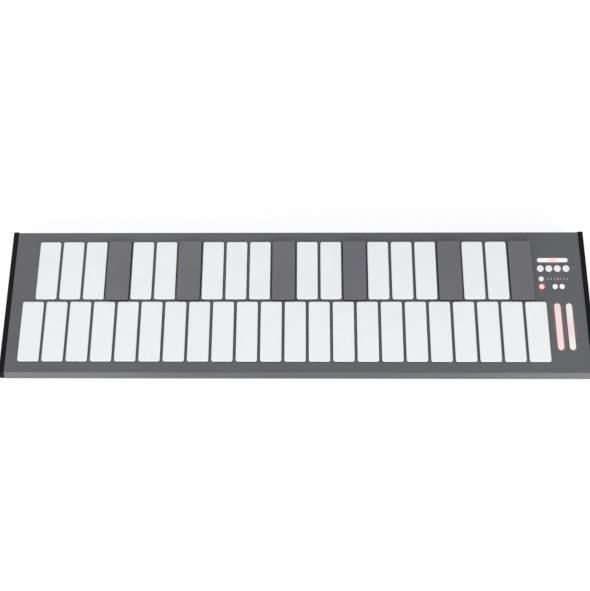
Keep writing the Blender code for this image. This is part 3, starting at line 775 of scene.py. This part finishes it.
def foot_tree():
    """A rubber foot on each point: tapered, with a rounded tread and a recess for its screw."""
    tree, given = start_tree("rubber_foot", {
        "Diameter": "Float", "Height": "Float", "Taper": "Float", "Edge Radius": "Float",
        "Recess Diameter": "Float", "Recess Depth": "Float", "Finish": "Material"})
    edge = given["Edge Radius"]
    radius = add(tree, "ShaderNodeMath", {0: given["Diameter"], 1: 0.5}, operation="MULTIPLY")
    recess = add(tree, "ShaderNodeMath", {0: given["Recess Diameter"], 1: 0.5}, operation="MULTIPLY")
    outer = add(tree, "ShaderNodeMath", {0: radius, 1: recess}, operation="SUBTRACT")
    tread = add(tree, "ShaderNodeMath", {0: outer, 1: given["Taper"]}, operation="SUBTRACT")
    flat = add(tree, "ShaderNodeMath", {0: tread, 1: edge}, operation="SUBTRACT")
    rise = add(tree, "ShaderNodeMath", {0: edge, 1: ARC_MIDDLE}, operation="MULTIPLY")
    middle = add(tree, "ShaderNodeMath", {0: tread, 1: rise}, operation="SUBTRACT")
    outline = add(tree, "GeometryNodeCurvePrimitiveCircle", {"Resolution": TURNED_SIDES, "Radius": recess})
    wall = path_curve(tree, [
        (0.0, given["Recess Depth"]), (0.0, 0.0), (flat, 0.0), (middle, rise), (tread, edge),
        (outer, given["Height"]), (0.0, given["Height"])])
    foot = sweep(tree, outline, wall, given["Recess Depth"], given["Height"])
    end_on_points(tree, given, foot)
    return tree


def screw_tree():
    """A round screw head with a hexagonal socket on each point, turned to face the way it was driven."""
    tree, given = start_tree("screw_head", {
        "Diameter": "Float", "Height": "Float", "Edge Radius": "Float", "Socket Radius": "Float",
        "Turn": "Vector", "Finish": "Material"})
    socket = add(tree, "GeometryNodeMeshCylinder", {
        "Vertices": 6, "Radius": given["Socket Radius"], "Depth": given["Height"]})
    bored = add(tree, "GeometryNodeMeshBoolean", {
        "Mesh 1": domed_disc(tree, given, TURNED_SIDES), "Mesh 2": socket}, operation="DIFFERENCE")
    lift = add(tree, "ShaderNodeCombineXYZ", {"Z": given["Height"]})
    head = add(tree, "GeometryNodeTransform", {"Geometry": bored, "Translation": lift})
    turn = add(tree, "FunctionNodeEulerToRotation", {"Euler": given["Turn"]})
    end_on_points(tree, given, head, Rotation=turn)
    return tree


def standoff_tree():
    """A hexagonal standoff on each point."""
    tree, given = start_tree("hexagonal_standoff", {
        "Radius": "Float", "Height": "Float", "Finish": "Material"})
    column = add(tree, "GeometryNodeMeshCylinder", {
        "Vertices": 6, "Radius": given["Radius"], "Depth": given["Height"]})
    half_height = add(tree, "ShaderNodeMath", {0: given["Height"], 1: 0.5}, operation="MULTIPLY")
    lift = add(tree, "ShaderNodeCombineXYZ", {"Z": half_height})
    standing = add(tree, "GeometryNodeTransform", {"Geometry": column, "Translation": lift})
    end_on_points(tree, given, standing)
    return tree


def peg_tree():
    """A domed light peg on each point."""
    tree, given = start_tree("light_peg", {
        "Diameter": "Float", "Edge Radius": "Float", "Height": "Float", "Finish": "Material"})
    end_on_points(tree, given, domed_disc(tree, given, TURNED_SIDES // 2))
    return tree


PAD_TREE = pad_tree()
FOOT_TREE = foot_tree()
SCREW_TREE = screw_tree()
STANDOFF_TREE = standoff_tree()
PEG_TREE = peg_tree()

# Pads: bars, buttons and touch strips


def mould_pad(name, centre, size, top, bottom, corner_radius, edge_radius, finish):
    """A pad of this size where it shows, from its top down to the underside of its lip."""
    # Below where it shows, the pad is painted black as painted shade of its slot
    return grow(name, PAD_TREE, {
        "Width": size[0], "Length": size[1], "Corner Radius": corner_radius, "Corner Steps": ARC_STEPS,
        "Edge Radius": edge_radius, "Shown": top - DECK_TOP - PAINTED_SHADE_ABOVE_DECK,
        "Height": top - PAD_LIP_TOP, "Lip Width": LIP_WIDTH, "Lip Thickness": PAD_LIP_TOP - bottom,
        "Centre": (centre.x, centre.y, top), "Finish": finish, "Painted Shade Finish": PAINTED_SLOT_SHADE})


def mould_node(node, corner_radius, edge_radius, finish):
    """The pad that takes a node's place, as large as the node."""
    low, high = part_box(node)
    name = node + "_moulding"
    return mould_pad(
        name, centre_of(node), pad_size(node), high.z, low.z, corner_radius, edge_radius, finish)


def fit_bars():
    for bar in BARS:
        moulding = mould_node(bar, BAR_CORNER_RADIUS, BAR_EDGE_RADIUS, WHITE_SILICONE)
        fit(moulding, bar, [bar])


def fit_buttons():
    plain = button_silicone("button_silicone", "#E4E3E7", 0.0)
    bright = button_silicone("bright_button_silicone", "#EFEEEF", 0.0)
    finishes = {
        "mode_button_rear": button_silicone("faintly_lit_button", "#E8DEE2", 0.02),
        "mode_button_front": button_silicone("lit_button", "#F4CCD6", 0.08),
        "octave_down_button": bright,
        "octave_up_button": bright,
    }
    for button in BUTTONS:
        radius = ROUNDNESS * pad_size(button)[0] / 2
        finish = finishes.get(button, plain)
        fit(mould_node(button, radius, BUTTON_EDGE_RADIUS, finish), button, [button])


def fit_strips():
    strip_length, strip_width = pad_size("touch_strip")
    fader_width, fader_length = pad_size("left_touch_fader")
    strip_looks = ("#F1F1F0", "#F3DADD", 0.07)
    fader_looks = ("#E2E1DF", "#E5D3D2", 0.03)
    finishes = {
        "touch_strip": frosted_diffuser(
            "strip_diffuser", strip_looks, centre_of("touch_strip"), (strip_length * STRIP_LIT, 0.0),
            strip_width * LIT_CORE, STRIP_FADE),
        "left_touch_fader": frosted_diffuser(
            "left_fader_diffuser", fader_looks, centre_of("left_touch_fader"), (0.0, fader_length / 2),
            fader_width, LEFT_FADER_FADE),
        "right_touch_fader": frosted_diffuser(
            "right_fader_diffuser", fader_looks, right_fader_light(),
            (0.0, fader_length * RIGHT_FADER_LIT), fader_width * LIT_CORE, RIGHT_FADER_FADE),
    }
    for strip, finish in finishes.items():
        radius = ROUNDNESS * min(pad_size(strip)) / 2
        fit(mould_node(strip, radius, STRIP_EDGE_RADIUS, finish), "housing", [strip])


# Range covers


def rounded_edge(outline_at, height, radius):
    """Rings up a side and over a rounded edge, to a flat top at height."""
    rings = []
    for step in range(EDGE_STEPS + 1):
        angle = math.pi / 2 * step / EDGE_STEPS
        inset = radius * (1 - math.cos(angle))
        rings.append((outline_at(inset), height - radius * (1 - math.sin(angle))))
    return rings


def fit_covers():
    """Thin moulded shells, open below, each over one bar that the layout leaves out."""
    for cover in COVERS:
        low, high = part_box(cover)
        centre = centre_of(cover)
        width, length = high.x - low.x, high.y - low.y

        def outline_at(inset):
            return rounded_rectangle(width - 2 * inset, length - 2 * inset, COVER_CORNER_RADIUS - inset)

        inner = rounded_rectangle(
            width - 2 * COVER_SIDE_WALL, length - 2 * COVER_END_WALL, COVER_CORNER_RADIUS - COVER_END_WALL)
        steps = [(inner, high.z - COVER_TOP), (inner, low.z), (outline_at(0.0), low.z)]
        steps += rounded_edge(outline_at, high.z, COVER_EDGE_RADIUS)
        mesh = bmesh.new()
        loft(mesh, [flat_ring(outline, height, centre) for outline, height in steps])
        shell = make_object(cover + "_moulding", mesh, GREY_SILICONE)
        fit(shell, cover, [cover])


# Housing


def front_wall_y(height):
    """Outer face of the front wall, which leans back from the nose down."""
    return NOSE_Y + NOSE_RETURN * (NOSE_Z - height) / (NOSE_Z - PANEL_BOTTOM)


def window_outline(size, corner_radius, clearance):
    """A hole in the deck round a pad or a cover, with its clearance all round."""
    return rounded_rectangle(size[0] + 2 * clearance, size[1] + 2 * clearance, corner_radius + clearance)


def deck_windows():
    """Centre and outline of every hole in the deck."""
    bar_size = pad_size(BARS[0])
    window = window_outline(bar_size, BAR_CORNER_RADIUS, BAR_SLOT)
    holes = [(centre_of(node), window) for node in BARS]
    low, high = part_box(COVERS[0])
    window = window_outline((high.x - low.x, high.y - low.y), COVER_CORNER_RADIUS, COVER_SLOT)
    holes += [(centre_of(node), window) for node in COVERS]
    for node in BUTTONS + STRIPS:
        size = pad_size(node)
        holes.append((centre_of(node), window_outline(size, ROUNDNESS * min(size) / 2, WINDOW_CLEARANCE)))
    lamp_hole = circle(LAMP_DIAMETER + 2 * SEAT_GAP, TURNED_SIDES // 2)
    return holes + [(centre, lamp_hole) for centre in lamp_centres()]


def fit_top_panel():
    """Deck, bevelled nose, front wall with a lip under it, and a short flange over the rear wall."""
    path = [
        (DECK_REAR, DECK_TOP - REAR_FLANGE), (DECK_REAR, DECK_TOP), (DECK_FRONT, DECK_TOP),
        (NOSE_Y, NOSE_Z), (front_wall_y(PANEL_BOTTOM), PANEL_BOTTOM),
        (front_wall_y(PANEL_BOTTOM) + FRONT_LIP, PANEL_BOTTOM)]
    outline = folded_sheet(path, SHEET, FOLD_RADIUS)
    mesh = bmesh.new()
    loft(mesh, [side_ring(outline, PANEL_LOW.x), side_ring(outline, PANEL_HIGH.x)])
    panel = make_object("folded_deck", mesh, DECK_PAINT)
    holes = bmesh.new()
    through_deck = (DECK_TOP - 2 * SHEET, DECK_TOP + SHEET)
    for centre, hole in deck_windows():
        loft(holes, [flat_ring(hole, height, centre) for height in through_deck])
    cut(panel, holes)
    break_edges(panel)
    settle(panel)
    fit(panel, "housing", ["top_panel"])


def cap_outline():
    """Corners of an end cap, counter-clockwise seen from its right end: a little proud of the housing,
    but level with it at the nose."""
    housing = [
        (NOSE_Y, NOSE_Z), (front_wall_y(PAN_BOTTOM), PAN_BOTTOM), (DECK_REAR, PAN_BOTTOM),
        (DECK_REAR, DECK_TOP), (DECK_FRONT, DECK_TOP)]
    return [(NOSE_Y + CAP_NOSE_SET_BACK, NOSE_Z)] + offset_path(housing, -CAP_PROUD, closed=True)[1:]


def plug_outline():
    """Corners of the space that the end of the housing leaves open, less the seat gap."""
    rear = REAR_WALL_INSIDE + SHEET
    sheet_outside = [
        (front_wall_y(PANEL_BOTTOM), PANEL_BOTTOM), (rear, PANEL_BOTTOM), (rear, DECK_TOP),
        (DECK_FRONT, DECK_TOP), (NOSE_Y, NOSE_Z)]
    return offset_path(sheet_outside, SHEET + SEAT_GAP, closed=True)


def cap_ring(corners, inset, radius, x):
    """The corners' outline moved in by inset and rounded, as a ring across the X axis."""
    return side_ring(round_corners(offset_path(corners, inset, closed=True), radius, closed=True), x)


def fit_end_cap(node, side):
    """A rounded plate with a shallow field on its face and a hollow plug into the end of the housing."""
    low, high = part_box(node)
    outer_face = high.x if side > 0 else low.x
    inner_face = (PANEL_HIGH.x if side > 0 else PANEL_LOW.x) + side * SEAT_GAP
    plug_end = inner_face - side * PLUG_DEPTH
    pocket_floor = outer_face - side * CAP_SKIN
    shell = cap_outline()
    plug = plug_outline()
    field_radius = CAP_CORNER_RADIUS / 2
    field_face = outer_face - side * CAP_FIELD_DEPTH
    rings = [
        cap_ring(shell, CAP_FIELD_MARGIN + CAP_FIELD_DEPTH, field_radius, field_face),
        cap_ring(shell, CAP_FIELD_MARGIN, field_radius + CAP_FIELD_DEPTH, outer_face)]
    for step in range(EDGE_STEPS + 1):
        angle = math.pi / 2 * step / EDGE_STEPS
        inset = CAP_EDGE_RADIUS * (1 - math.sin(angle))
        x = outer_face - side * CAP_EDGE_RADIUS * (1 - math.cos(angle))
        rings.append(cap_ring(shell, inset, CAP_CORNER_RADIUS - inset, x))
    plug_inside = PLUG_CORNER_RADIUS - PLUG_WALL / 2
    rings += [
        cap_ring(shell, 0.0, CAP_CORNER_RADIUS, inner_face + side * EDGE_BREAK),
        cap_ring(shell, EDGE_BREAK, CAP_CORNER_RADIUS - EDGE_BREAK, inner_face),
        cap_ring(plug, 0.0, PLUG_CORNER_RADIUS, inner_face),
        cap_ring(plug, 0.0, PLUG_CORNER_RADIUS, plug_end),
        cap_ring(plug, PLUG_WALL, plug_inside, plug_end),
        cap_ring(plug, PLUG_WALL, plug_inside, pocket_floor)]
    mesh = bmesh.new()
    loft(mesh, rings)
    fit(make_object(node + "_moulding", mesh, BLACK_ABS), "housing", [node])


def socket_centres():
    """Centres of the cable port and of the two pedal jacks in the rear wall."""
    top = BOARD_UNDERSIDE + SOCKET_TOP_ABOVE_BOARD
    port = Vector((PANEL_HIGH.x - PORT_FROM_RIGHT, REAR_WALL, top - PORT_SHELL[2] / 2))
    first = port.x - PORT_SHELL[0] / 2 - SOCKET_SPACE - JACK_BODY[0] / 2
    step = JACK_BODY[0] + SOCKET_SPACE
    height = top - JACK_BODY[2] / 2
    return port, [Vector((first - index * step, REAR_WALL, height)) for index in range(JACK_COUNT)]


def standoff_points():
    """Columns of standoffs under the front, the middle and the rear of the board."""
    first = BOARD_EDGE_LEFT + STANDOFF_INSET
    step = (BOARD_EDGE_RIGHT - BOARD_EDGE_LEFT - 2 * STANDOFF_INSET) / (STANDOFF_COLUMNS - 1)
    rows = (BOARD_EDGE_FRONT + STANDOFF_INSET, ROW_LINE_Y, BOARD_EDGE_REAR - STANDOFF_INSET)
    return [(first + column * step, y, PAN_FLOOR) for column in range(STANDOFF_COLUMNS) for y in rows]


def foot_points():
    """Feet along the front and the rear of the pan."""
    first = PANEL_LOW.x + FOOT_FROM_END
    step = (PANEL_HIGH.x - PANEL_LOW.x - 2 * FOOT_FROM_END) / (FOOT_COLUMNS - 1)
    rows = (DECK_FRONT + FOOT_FROM_EDGE, DECK_REAR - FOOT_FROM_EDGE)
    return [(first + column * step, y, 0.0) for column in range(FOOT_COLUMNS) for y in rows]


def screw_points():
    """Screws up through the pan into the front lip, and a row under the rear edge."""
    first = PANEL_LOW.x + SCREW_FROM_END
    step = (PANEL_HIGH.x - PANEL_LOW.x - 2 * SCREW_FROM_END) / (SCREW_COLUMNS - 1)
    rows = (DECK_FRONT + SCREW_FROM_EDGE, DECK_REAR - SCREW_FROM_EDGE)
    return [(first + column * step, y, PAN_BOTTOM) for column in range(SCREW_COLUMNS) for y in rows]


def fit_bottom_pan():
    """Floor and rear wall from one sheet, with the socket holes, standoffs, feet and screws."""
    path = [
        (front_wall_y(PANEL_BOTTOM) + SEAT_GAP, PAN_BOTTOM), (REAR_WALL, PAN_BOTTOM),
        (REAR_WALL, DECK_UNDERSIDE - SEAT_GAP)]
    outline = folded_sheet(path, PAN_SHEET, FOLD_RADIUS)
    mesh = bmesh.new()
    loft(mesh, [side_ring(outline, PANEL_LOW.x), side_ring(outline, PANEL_HIGH.x)])
    pan = make_object("folded_pan", mesh, PAN_PAINT)
    port, jacks = socket_centres()
    port_hole = rounded_rectangle(
        PORT_SHELL[0] + 2 * SOCKET_HOLE_CLEARANCE, PORT_SHELL[2] + 2 * SOCKET_HOLE_CLEARANCE, PORT_WALL)
    jack_hole = circle(JACK_BARREL_DIAMETER + 2 * SOCKET_HOLE_CLEARANCE)
    holes = bmesh.new()
    through_wall = (REAR_WALL - 2 * PAN_SHEET, REAR_WALL + PAN_SHEET)
    for centre, hole in [(port, port_hole)] + [(jack, jack_hole) for jack in jacks]:
        loft(holes, [rear_ring(hole, y, centre) for y in through_wall])
    cut(pan, holes)
    break_edges(pan)
    settle(pan)
    fit(pan, "housing", ["bottom_pan"])

    fit(grow("board_standoffs", STANDOFF_TREE, {
        "Radius": STANDOFF_WIDTH / 2 / math.cos(math.pi / 6),
        "Height": BOARD_UNDERSIDE - SEAT_GAP - PAN_FLOOR, "Finish": NICKEL}, standoff_points()), "housing")
    fit(grow("rubber_feet", FOOT_TREE, {
        "Diameter": FOOT_DIAMETER, "Height": FOOT_HEIGHT, "Taper": FOOT_TAPER,
        "Edge Radius": FOOT_EDGE_RADIUS, "Recess Diameter": FOOT_RECESS_DIAMETER,
        "Recess Depth": FOOT_RECESS_DEPTH, "Finish": RUBBER}, foot_points()), "housing")
    in_recesses = [(x, y, FOOT_RECESS_DEPTH) for x, y, _ in foot_points()]
    for name, points in (("foot_screws", in_recesses), ("pan_screws", screw_points())):
        fit(grow(name, SCREW_TREE, {
            "Diameter": SCREW_HEAD_DIAMETER, "Height": SCREW_HEAD_HEIGHT,
            "Edge Radius": SCREW_HEAD_HEIGHT / 2, "Socket Radius": SCREW_SOCKET_RADIUS,
            "Turn": (math.pi, 0.0, 0.0), "Finish": SCREW_STEEL}, points), "housing")


# Main board, what stands on it and what hangs from it


def fit_main_board():
    """The board, with the bars that stand on it under the range covers."""
    outline = rounded_rectangle(
        BOARD_EDGE_RIGHT - BOARD_EDGE_LEFT, BOARD_EDGE_REAR - BOARD_EDGE_FRONT, BOARD_CORNER_RADIUS)
    centre = ((BOARD_EDGE_LEFT + BOARD_EDGE_RIGHT) / 2, (BOARD_EDGE_FRONT + BOARD_EDGE_REAR) / 2)
    mesh = bmesh.new()
    loft(mesh, [flat_ring(outline, height, centre) for height in (BOARD_UNDERSIDE, BOARD_TOP)])
    fit(make_object("board_plate", mesh, LAMINATE), "housing", ["main_board"])
    for index, cover in enumerate(COVERS, start=1):
        pad = mould_pad(
            f"covered_bar_{index}", centre_of(cover), pad_size(BARS[0]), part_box(BARS[0])[1].z, BOARD_TOP,
            BAR_CORNER_RADIUS, BAR_EDGE_RADIUS, WHITE_SILICONE)
        fit(pad, "housing")


def hexagon_like(round_outline, across_flats):
    """A hexagon with one point for each point of a circle, so that a loft can join the two."""
    outline = []
    for x, y in round_outline:
        lean = (math.atan2(y, x) + math.pi / 6) % (math.pi / 3) - math.pi / 6
        reach = across_flats / 2 / math.cos(lean) / math.hypot(x, y)
        outline.append((y * reach, x * reach))
    return outline


def rectangle_like(round_outline, width, height):
    """A rectangle with one point for each point of a circle, so that a loft can join the two."""
    outline = []
    for x, y in round_outline:
        reach = max(abs(x), abs(y))
        outline.append((x / reach * width / 2, y / reach * height / 2))
    return outline


def fit_jacks(centres):
    """Nylon blocks with a bore, a nickel bush through the rear wall and a thin nut on it."""
    mouth = REAR_WALL + SOCKET_PROUD
    face = REAR_WALL_INSIDE - SEAT_GAP
    bore = circle(JACK_BORE_DIAMETER)
    barrel = circle(JACK_BARREL_DIAMETER)
    block = rectangle_like(barrel, JACK_BODY[0], JACK_BODY[2])
    block_steps = [
        (block, face - JACK_BODY[1]), (block, face), (barrel, face), (barrel, face - BUSH_SUNK),
        (bore, face - BUSH_SUNK), (bore, mouth - JACK_BORE_DEPTH)]
    outside = circle(JACK_BARREL_DIAMETER - BUSH_FIT)
    inside = circle(JACK_BORE_DIAMETER + BUSH_FIT)
    bush_steps = [
        (outside, face - BUSH_SUNK / 2), (outside, mouth - 2 * EDGE_BREAK),
        (circle(JACK_BARREL_DIAMETER - 4 * EDGE_BREAK), mouth),
        (circle(JACK_BORE_DIAMETER + 4 * EDGE_BREAK), mouth),
        (inside, mouth - 2 * EDGE_BREAK), (inside, face - BUSH_SUNK / 2)]
    hexagon = hexagon_like(barrel, NUT_ACROSS_FLATS)
    worn = hexagon_like(barrel, NUT_ACROSS_FLATS - 2 * EDGE_BREAK)
    hole = circle(JACK_BARREL_DIAMETER + BUSH_FIT)
    flare = circle(JACK_BARREL_DIAMETER + 4 * EDGE_BREAK)
    top = REAR_WALL + NUT_THICKNESS
    nut_steps = [
        (hole, REAR_WALL), (hexagon, REAR_WALL), (hexagon, top - EDGE_BREAK), (worn, top),
        (flare, top), (hole, top - 2 * EDGE_BREAK)]
    for name, finish, steps, tube in (
            ("jack_blocks", NYLON, block_steps, False), ("jack_bushes", NICKEL, bush_steps, True),
            ("jack_nuts", NICKEL, nut_steps, True)):
        mesh = bmesh.new()
        for centre in centres:
            loft(mesh, [rear_ring(outline, y, centre) for outline, y in steps], tube)
        fit(make_object(name, mesh, finish), "housing")


def fit_port(centre):
    """A square cable port: a drawn nickel shell round a black tongue."""
    mouth = REAR_WALL + SOCKET_PROUD
    width, depth, height = PORT_SHELL

    def outline(inset, radius):
        return rounded_rectangle(width - 2 * inset, height - 2 * inset, radius)

    shell = bmesh.new()
    floor = mouth - PORT_POCKET_DEPTH
    loft(shell, [rear_ring(ring, y, centre) for ring, y in (
        (outline(0.0, PORT_WALL), mouth - depth), (outline(0.0, PORT_WALL), mouth - 2 * EDGE_BREAK),
        (outline(EDGE_BREAK, PORT_WALL), mouth), (outline(PORT_WALL - EDGE_BREAK, PORT_WALL / 2), mouth),
        (outline(PORT_WALL, PORT_WALL / 2), mouth - 2 * EDGE_BREAK),
        (outline(PORT_WALL, PORT_WALL / 2), floor))])
    fit(make_object("port_shell", shell, NICKEL), "housing")
    tongue = bmesh.new()
    block = rounded_rectangle(PORT_TONGUE[0], PORT_TONGUE[2], 2 * EDGE_BREAK)
    base = outline(PORT_WALL + EDGE_BREAK, PORT_WALL / 2)
    step = floor + PORT_WALL
    loft(tongue, [rear_ring(ring, y, centre) for ring, y in (
        (base, floor + EDGE_BREAK), (base, step), (block, step), (block, floor + PORT_TONGUE[1]))])
    fit(make_object("port_tongue", tongue, NYLON), "housing")


def fit_lamp_guide():
    """A clear bar under the deck with a peg up to each lamp window; one lamp is on."""
    low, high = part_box("lamp_guide")
    centre = (low + high) / 2
    outline = rounded_rectangle(high.x - low.x, high.y - low.y, 2 * EDGE_BREAK)
    top = DECK_UNDERSIDE - SEAT_GAP
    mesh = bmesh.new()
    loft(mesh, [flat_ring(outline, height, centre) for height in (low.z, top)])
    dark = lamp_window("unlit_lamp", "#DAD9DE", 0.0)
    lit = lamp_window("lit_lamp", "#FBE2E8", 0.45)
    fit(make_object("light_guide", mesh, dark), "housing", ["lamp_guide"])
    points = [(place.x, place.y, high.z) for place in lamp_centres()]
    lit_points = [points.pop(LAMP_LIT)]
    for name, finish, places in (("unlit_pegs", dark, points), ("lit_peg", lit, lit_points)):
        fit(grow(name, PEG_TREE, {
            "Diameter": LAMP_DIAMETER, "Edge Radius": LAMP_EDGE_RADIUS, "Height": high.z - top,
            "Finish": finish}, places), "housing")


fit_bars()
fit_buttons()
fit_strips()
fit_covers()
fit_top_panel()
fit_bottom_pan()
fit_end_cap("left_end_cap", -1)
fit_end_cap("right_end_cap", 1)
fit_main_board()
PORT_CENTRE, JACK_CENTRES = socket_centres()
fit_jacks(JACK_CENTRES)
fit_port(PORT_CENTRE)
fit_lamp_guide()

# Studio


def hang_soft_light(name, place, size, power):
    """A soft light, turned to face the middle of the object."""
    data = bpy.data.lights.new(name, "AREA")
    data.shape = "RECTANGLE"
    data.size, data.size_y = size
    data.energy = power
    lamp = bpy.data.objects.new(name, data)
    bpy.context.scene.collection.objects.link(lamp)
    aim = (Vector(LIGHTS_AIM) - Vector(place)).to_track_quat("-Z", "Y")
    lamp.matrix_world = Matrix.Translation(place) @ aim.to_matrix().to_4x4()


def seen_directly(tree):
    """1 for what the camera sees, itself or in a reflection or through something clear."""
    rays = add(tree, "ShaderNodeLightPath").outputs
    seen = add(tree, "ShaderNodeMath", {
        0: rays["Is Camera Ray"], 1: rays["Is Glossy Ray"]}, operation="MAXIMUM")
    return add(tree, "ShaderNodeMath", {0: seen, 1: rays["Is Transmission Ray"]}, operation="MAXIMUM")


def lay_floor():
    """A pale matt table top, lifted to white where it is seen. It keeps the shadow near the object and
    fades to plain white further out."""
    mesh = bmesh.new()
    bmesh.ops.create_grid(mesh, x_segments=1, y_segments=1, size=FLOOR_REACH)
    material, tree, shader = start_material("white_table", "#9C9C9C", 0.9, Specular_IOR_Level=0.0)
    place = add(tree, "ShaderNodeTexCoord").outputs["Object"]
    away = add(tree, "ShaderNodeVectorMath", {0: place}, operation="LENGTH").outputs["Value"]
    lift = add(tree, "ShaderNodeMapRange", {
        "Value": away, "From Min": FLOOR_FADE[0], "From Max": FLOOR_FADE[1],
        "To Min": FLOOR_LIFT, "To Max": 1.0})
    glow(tree, shader, "#FFFFFF", seen_directly(tree), lift)
    make_object("table_top", mesh, material)


def light_the_room():
    world = bpy.data.worlds.new("pale_room")
    bpy.context.scene.world = world
    world.use_nodes = True
    tree = world.node_tree
    background = tree.nodes["Background"]
    background.inputs["Color"].default_value = (1.0, 1.0, 1.0, 1.0)
    level = add(tree, "ShaderNodeMapRange", {
        "Value": seen_directly(tree), "To Min": ROOM_LIGHT, "To Max": 1.0})
    tree.links.new(level.outputs["Result"], background.inputs["Strength"])
    for name, (place, size, power) in SOFT_LIGHTS.items():
        hang_soft_light(name, place, size, power)


def build_camera():
    """Place and lens were worked out from the edges of the bars in the photograph."""
    data = bpy.data.cameras.new("camera")
    data.lens = CAMERA_LENS
    data.sensor_width = SENSOR
    data.clip_start = 0.01
    camera = bpy.data.objects.new("camera", data)
    turned = Matrix.Rotation(CAMERA_TILT, 4, "X") @ Matrix.Rotation(CAMERA_TURN, 4, "Y")
    camera.matrix_world = Matrix.Translation(CAMERA_PLACE) @ turned @ Matrix.Rotation(CAMERA_ROLL, 4, "Z")
    bpy.context.scene.collection.objects.link(camera)
    bpy.context.scene.camera = camera


lay_floor()
light_the_room()
build_camera()
bpy.context.scene.view_settings.view_transform = "Standard"
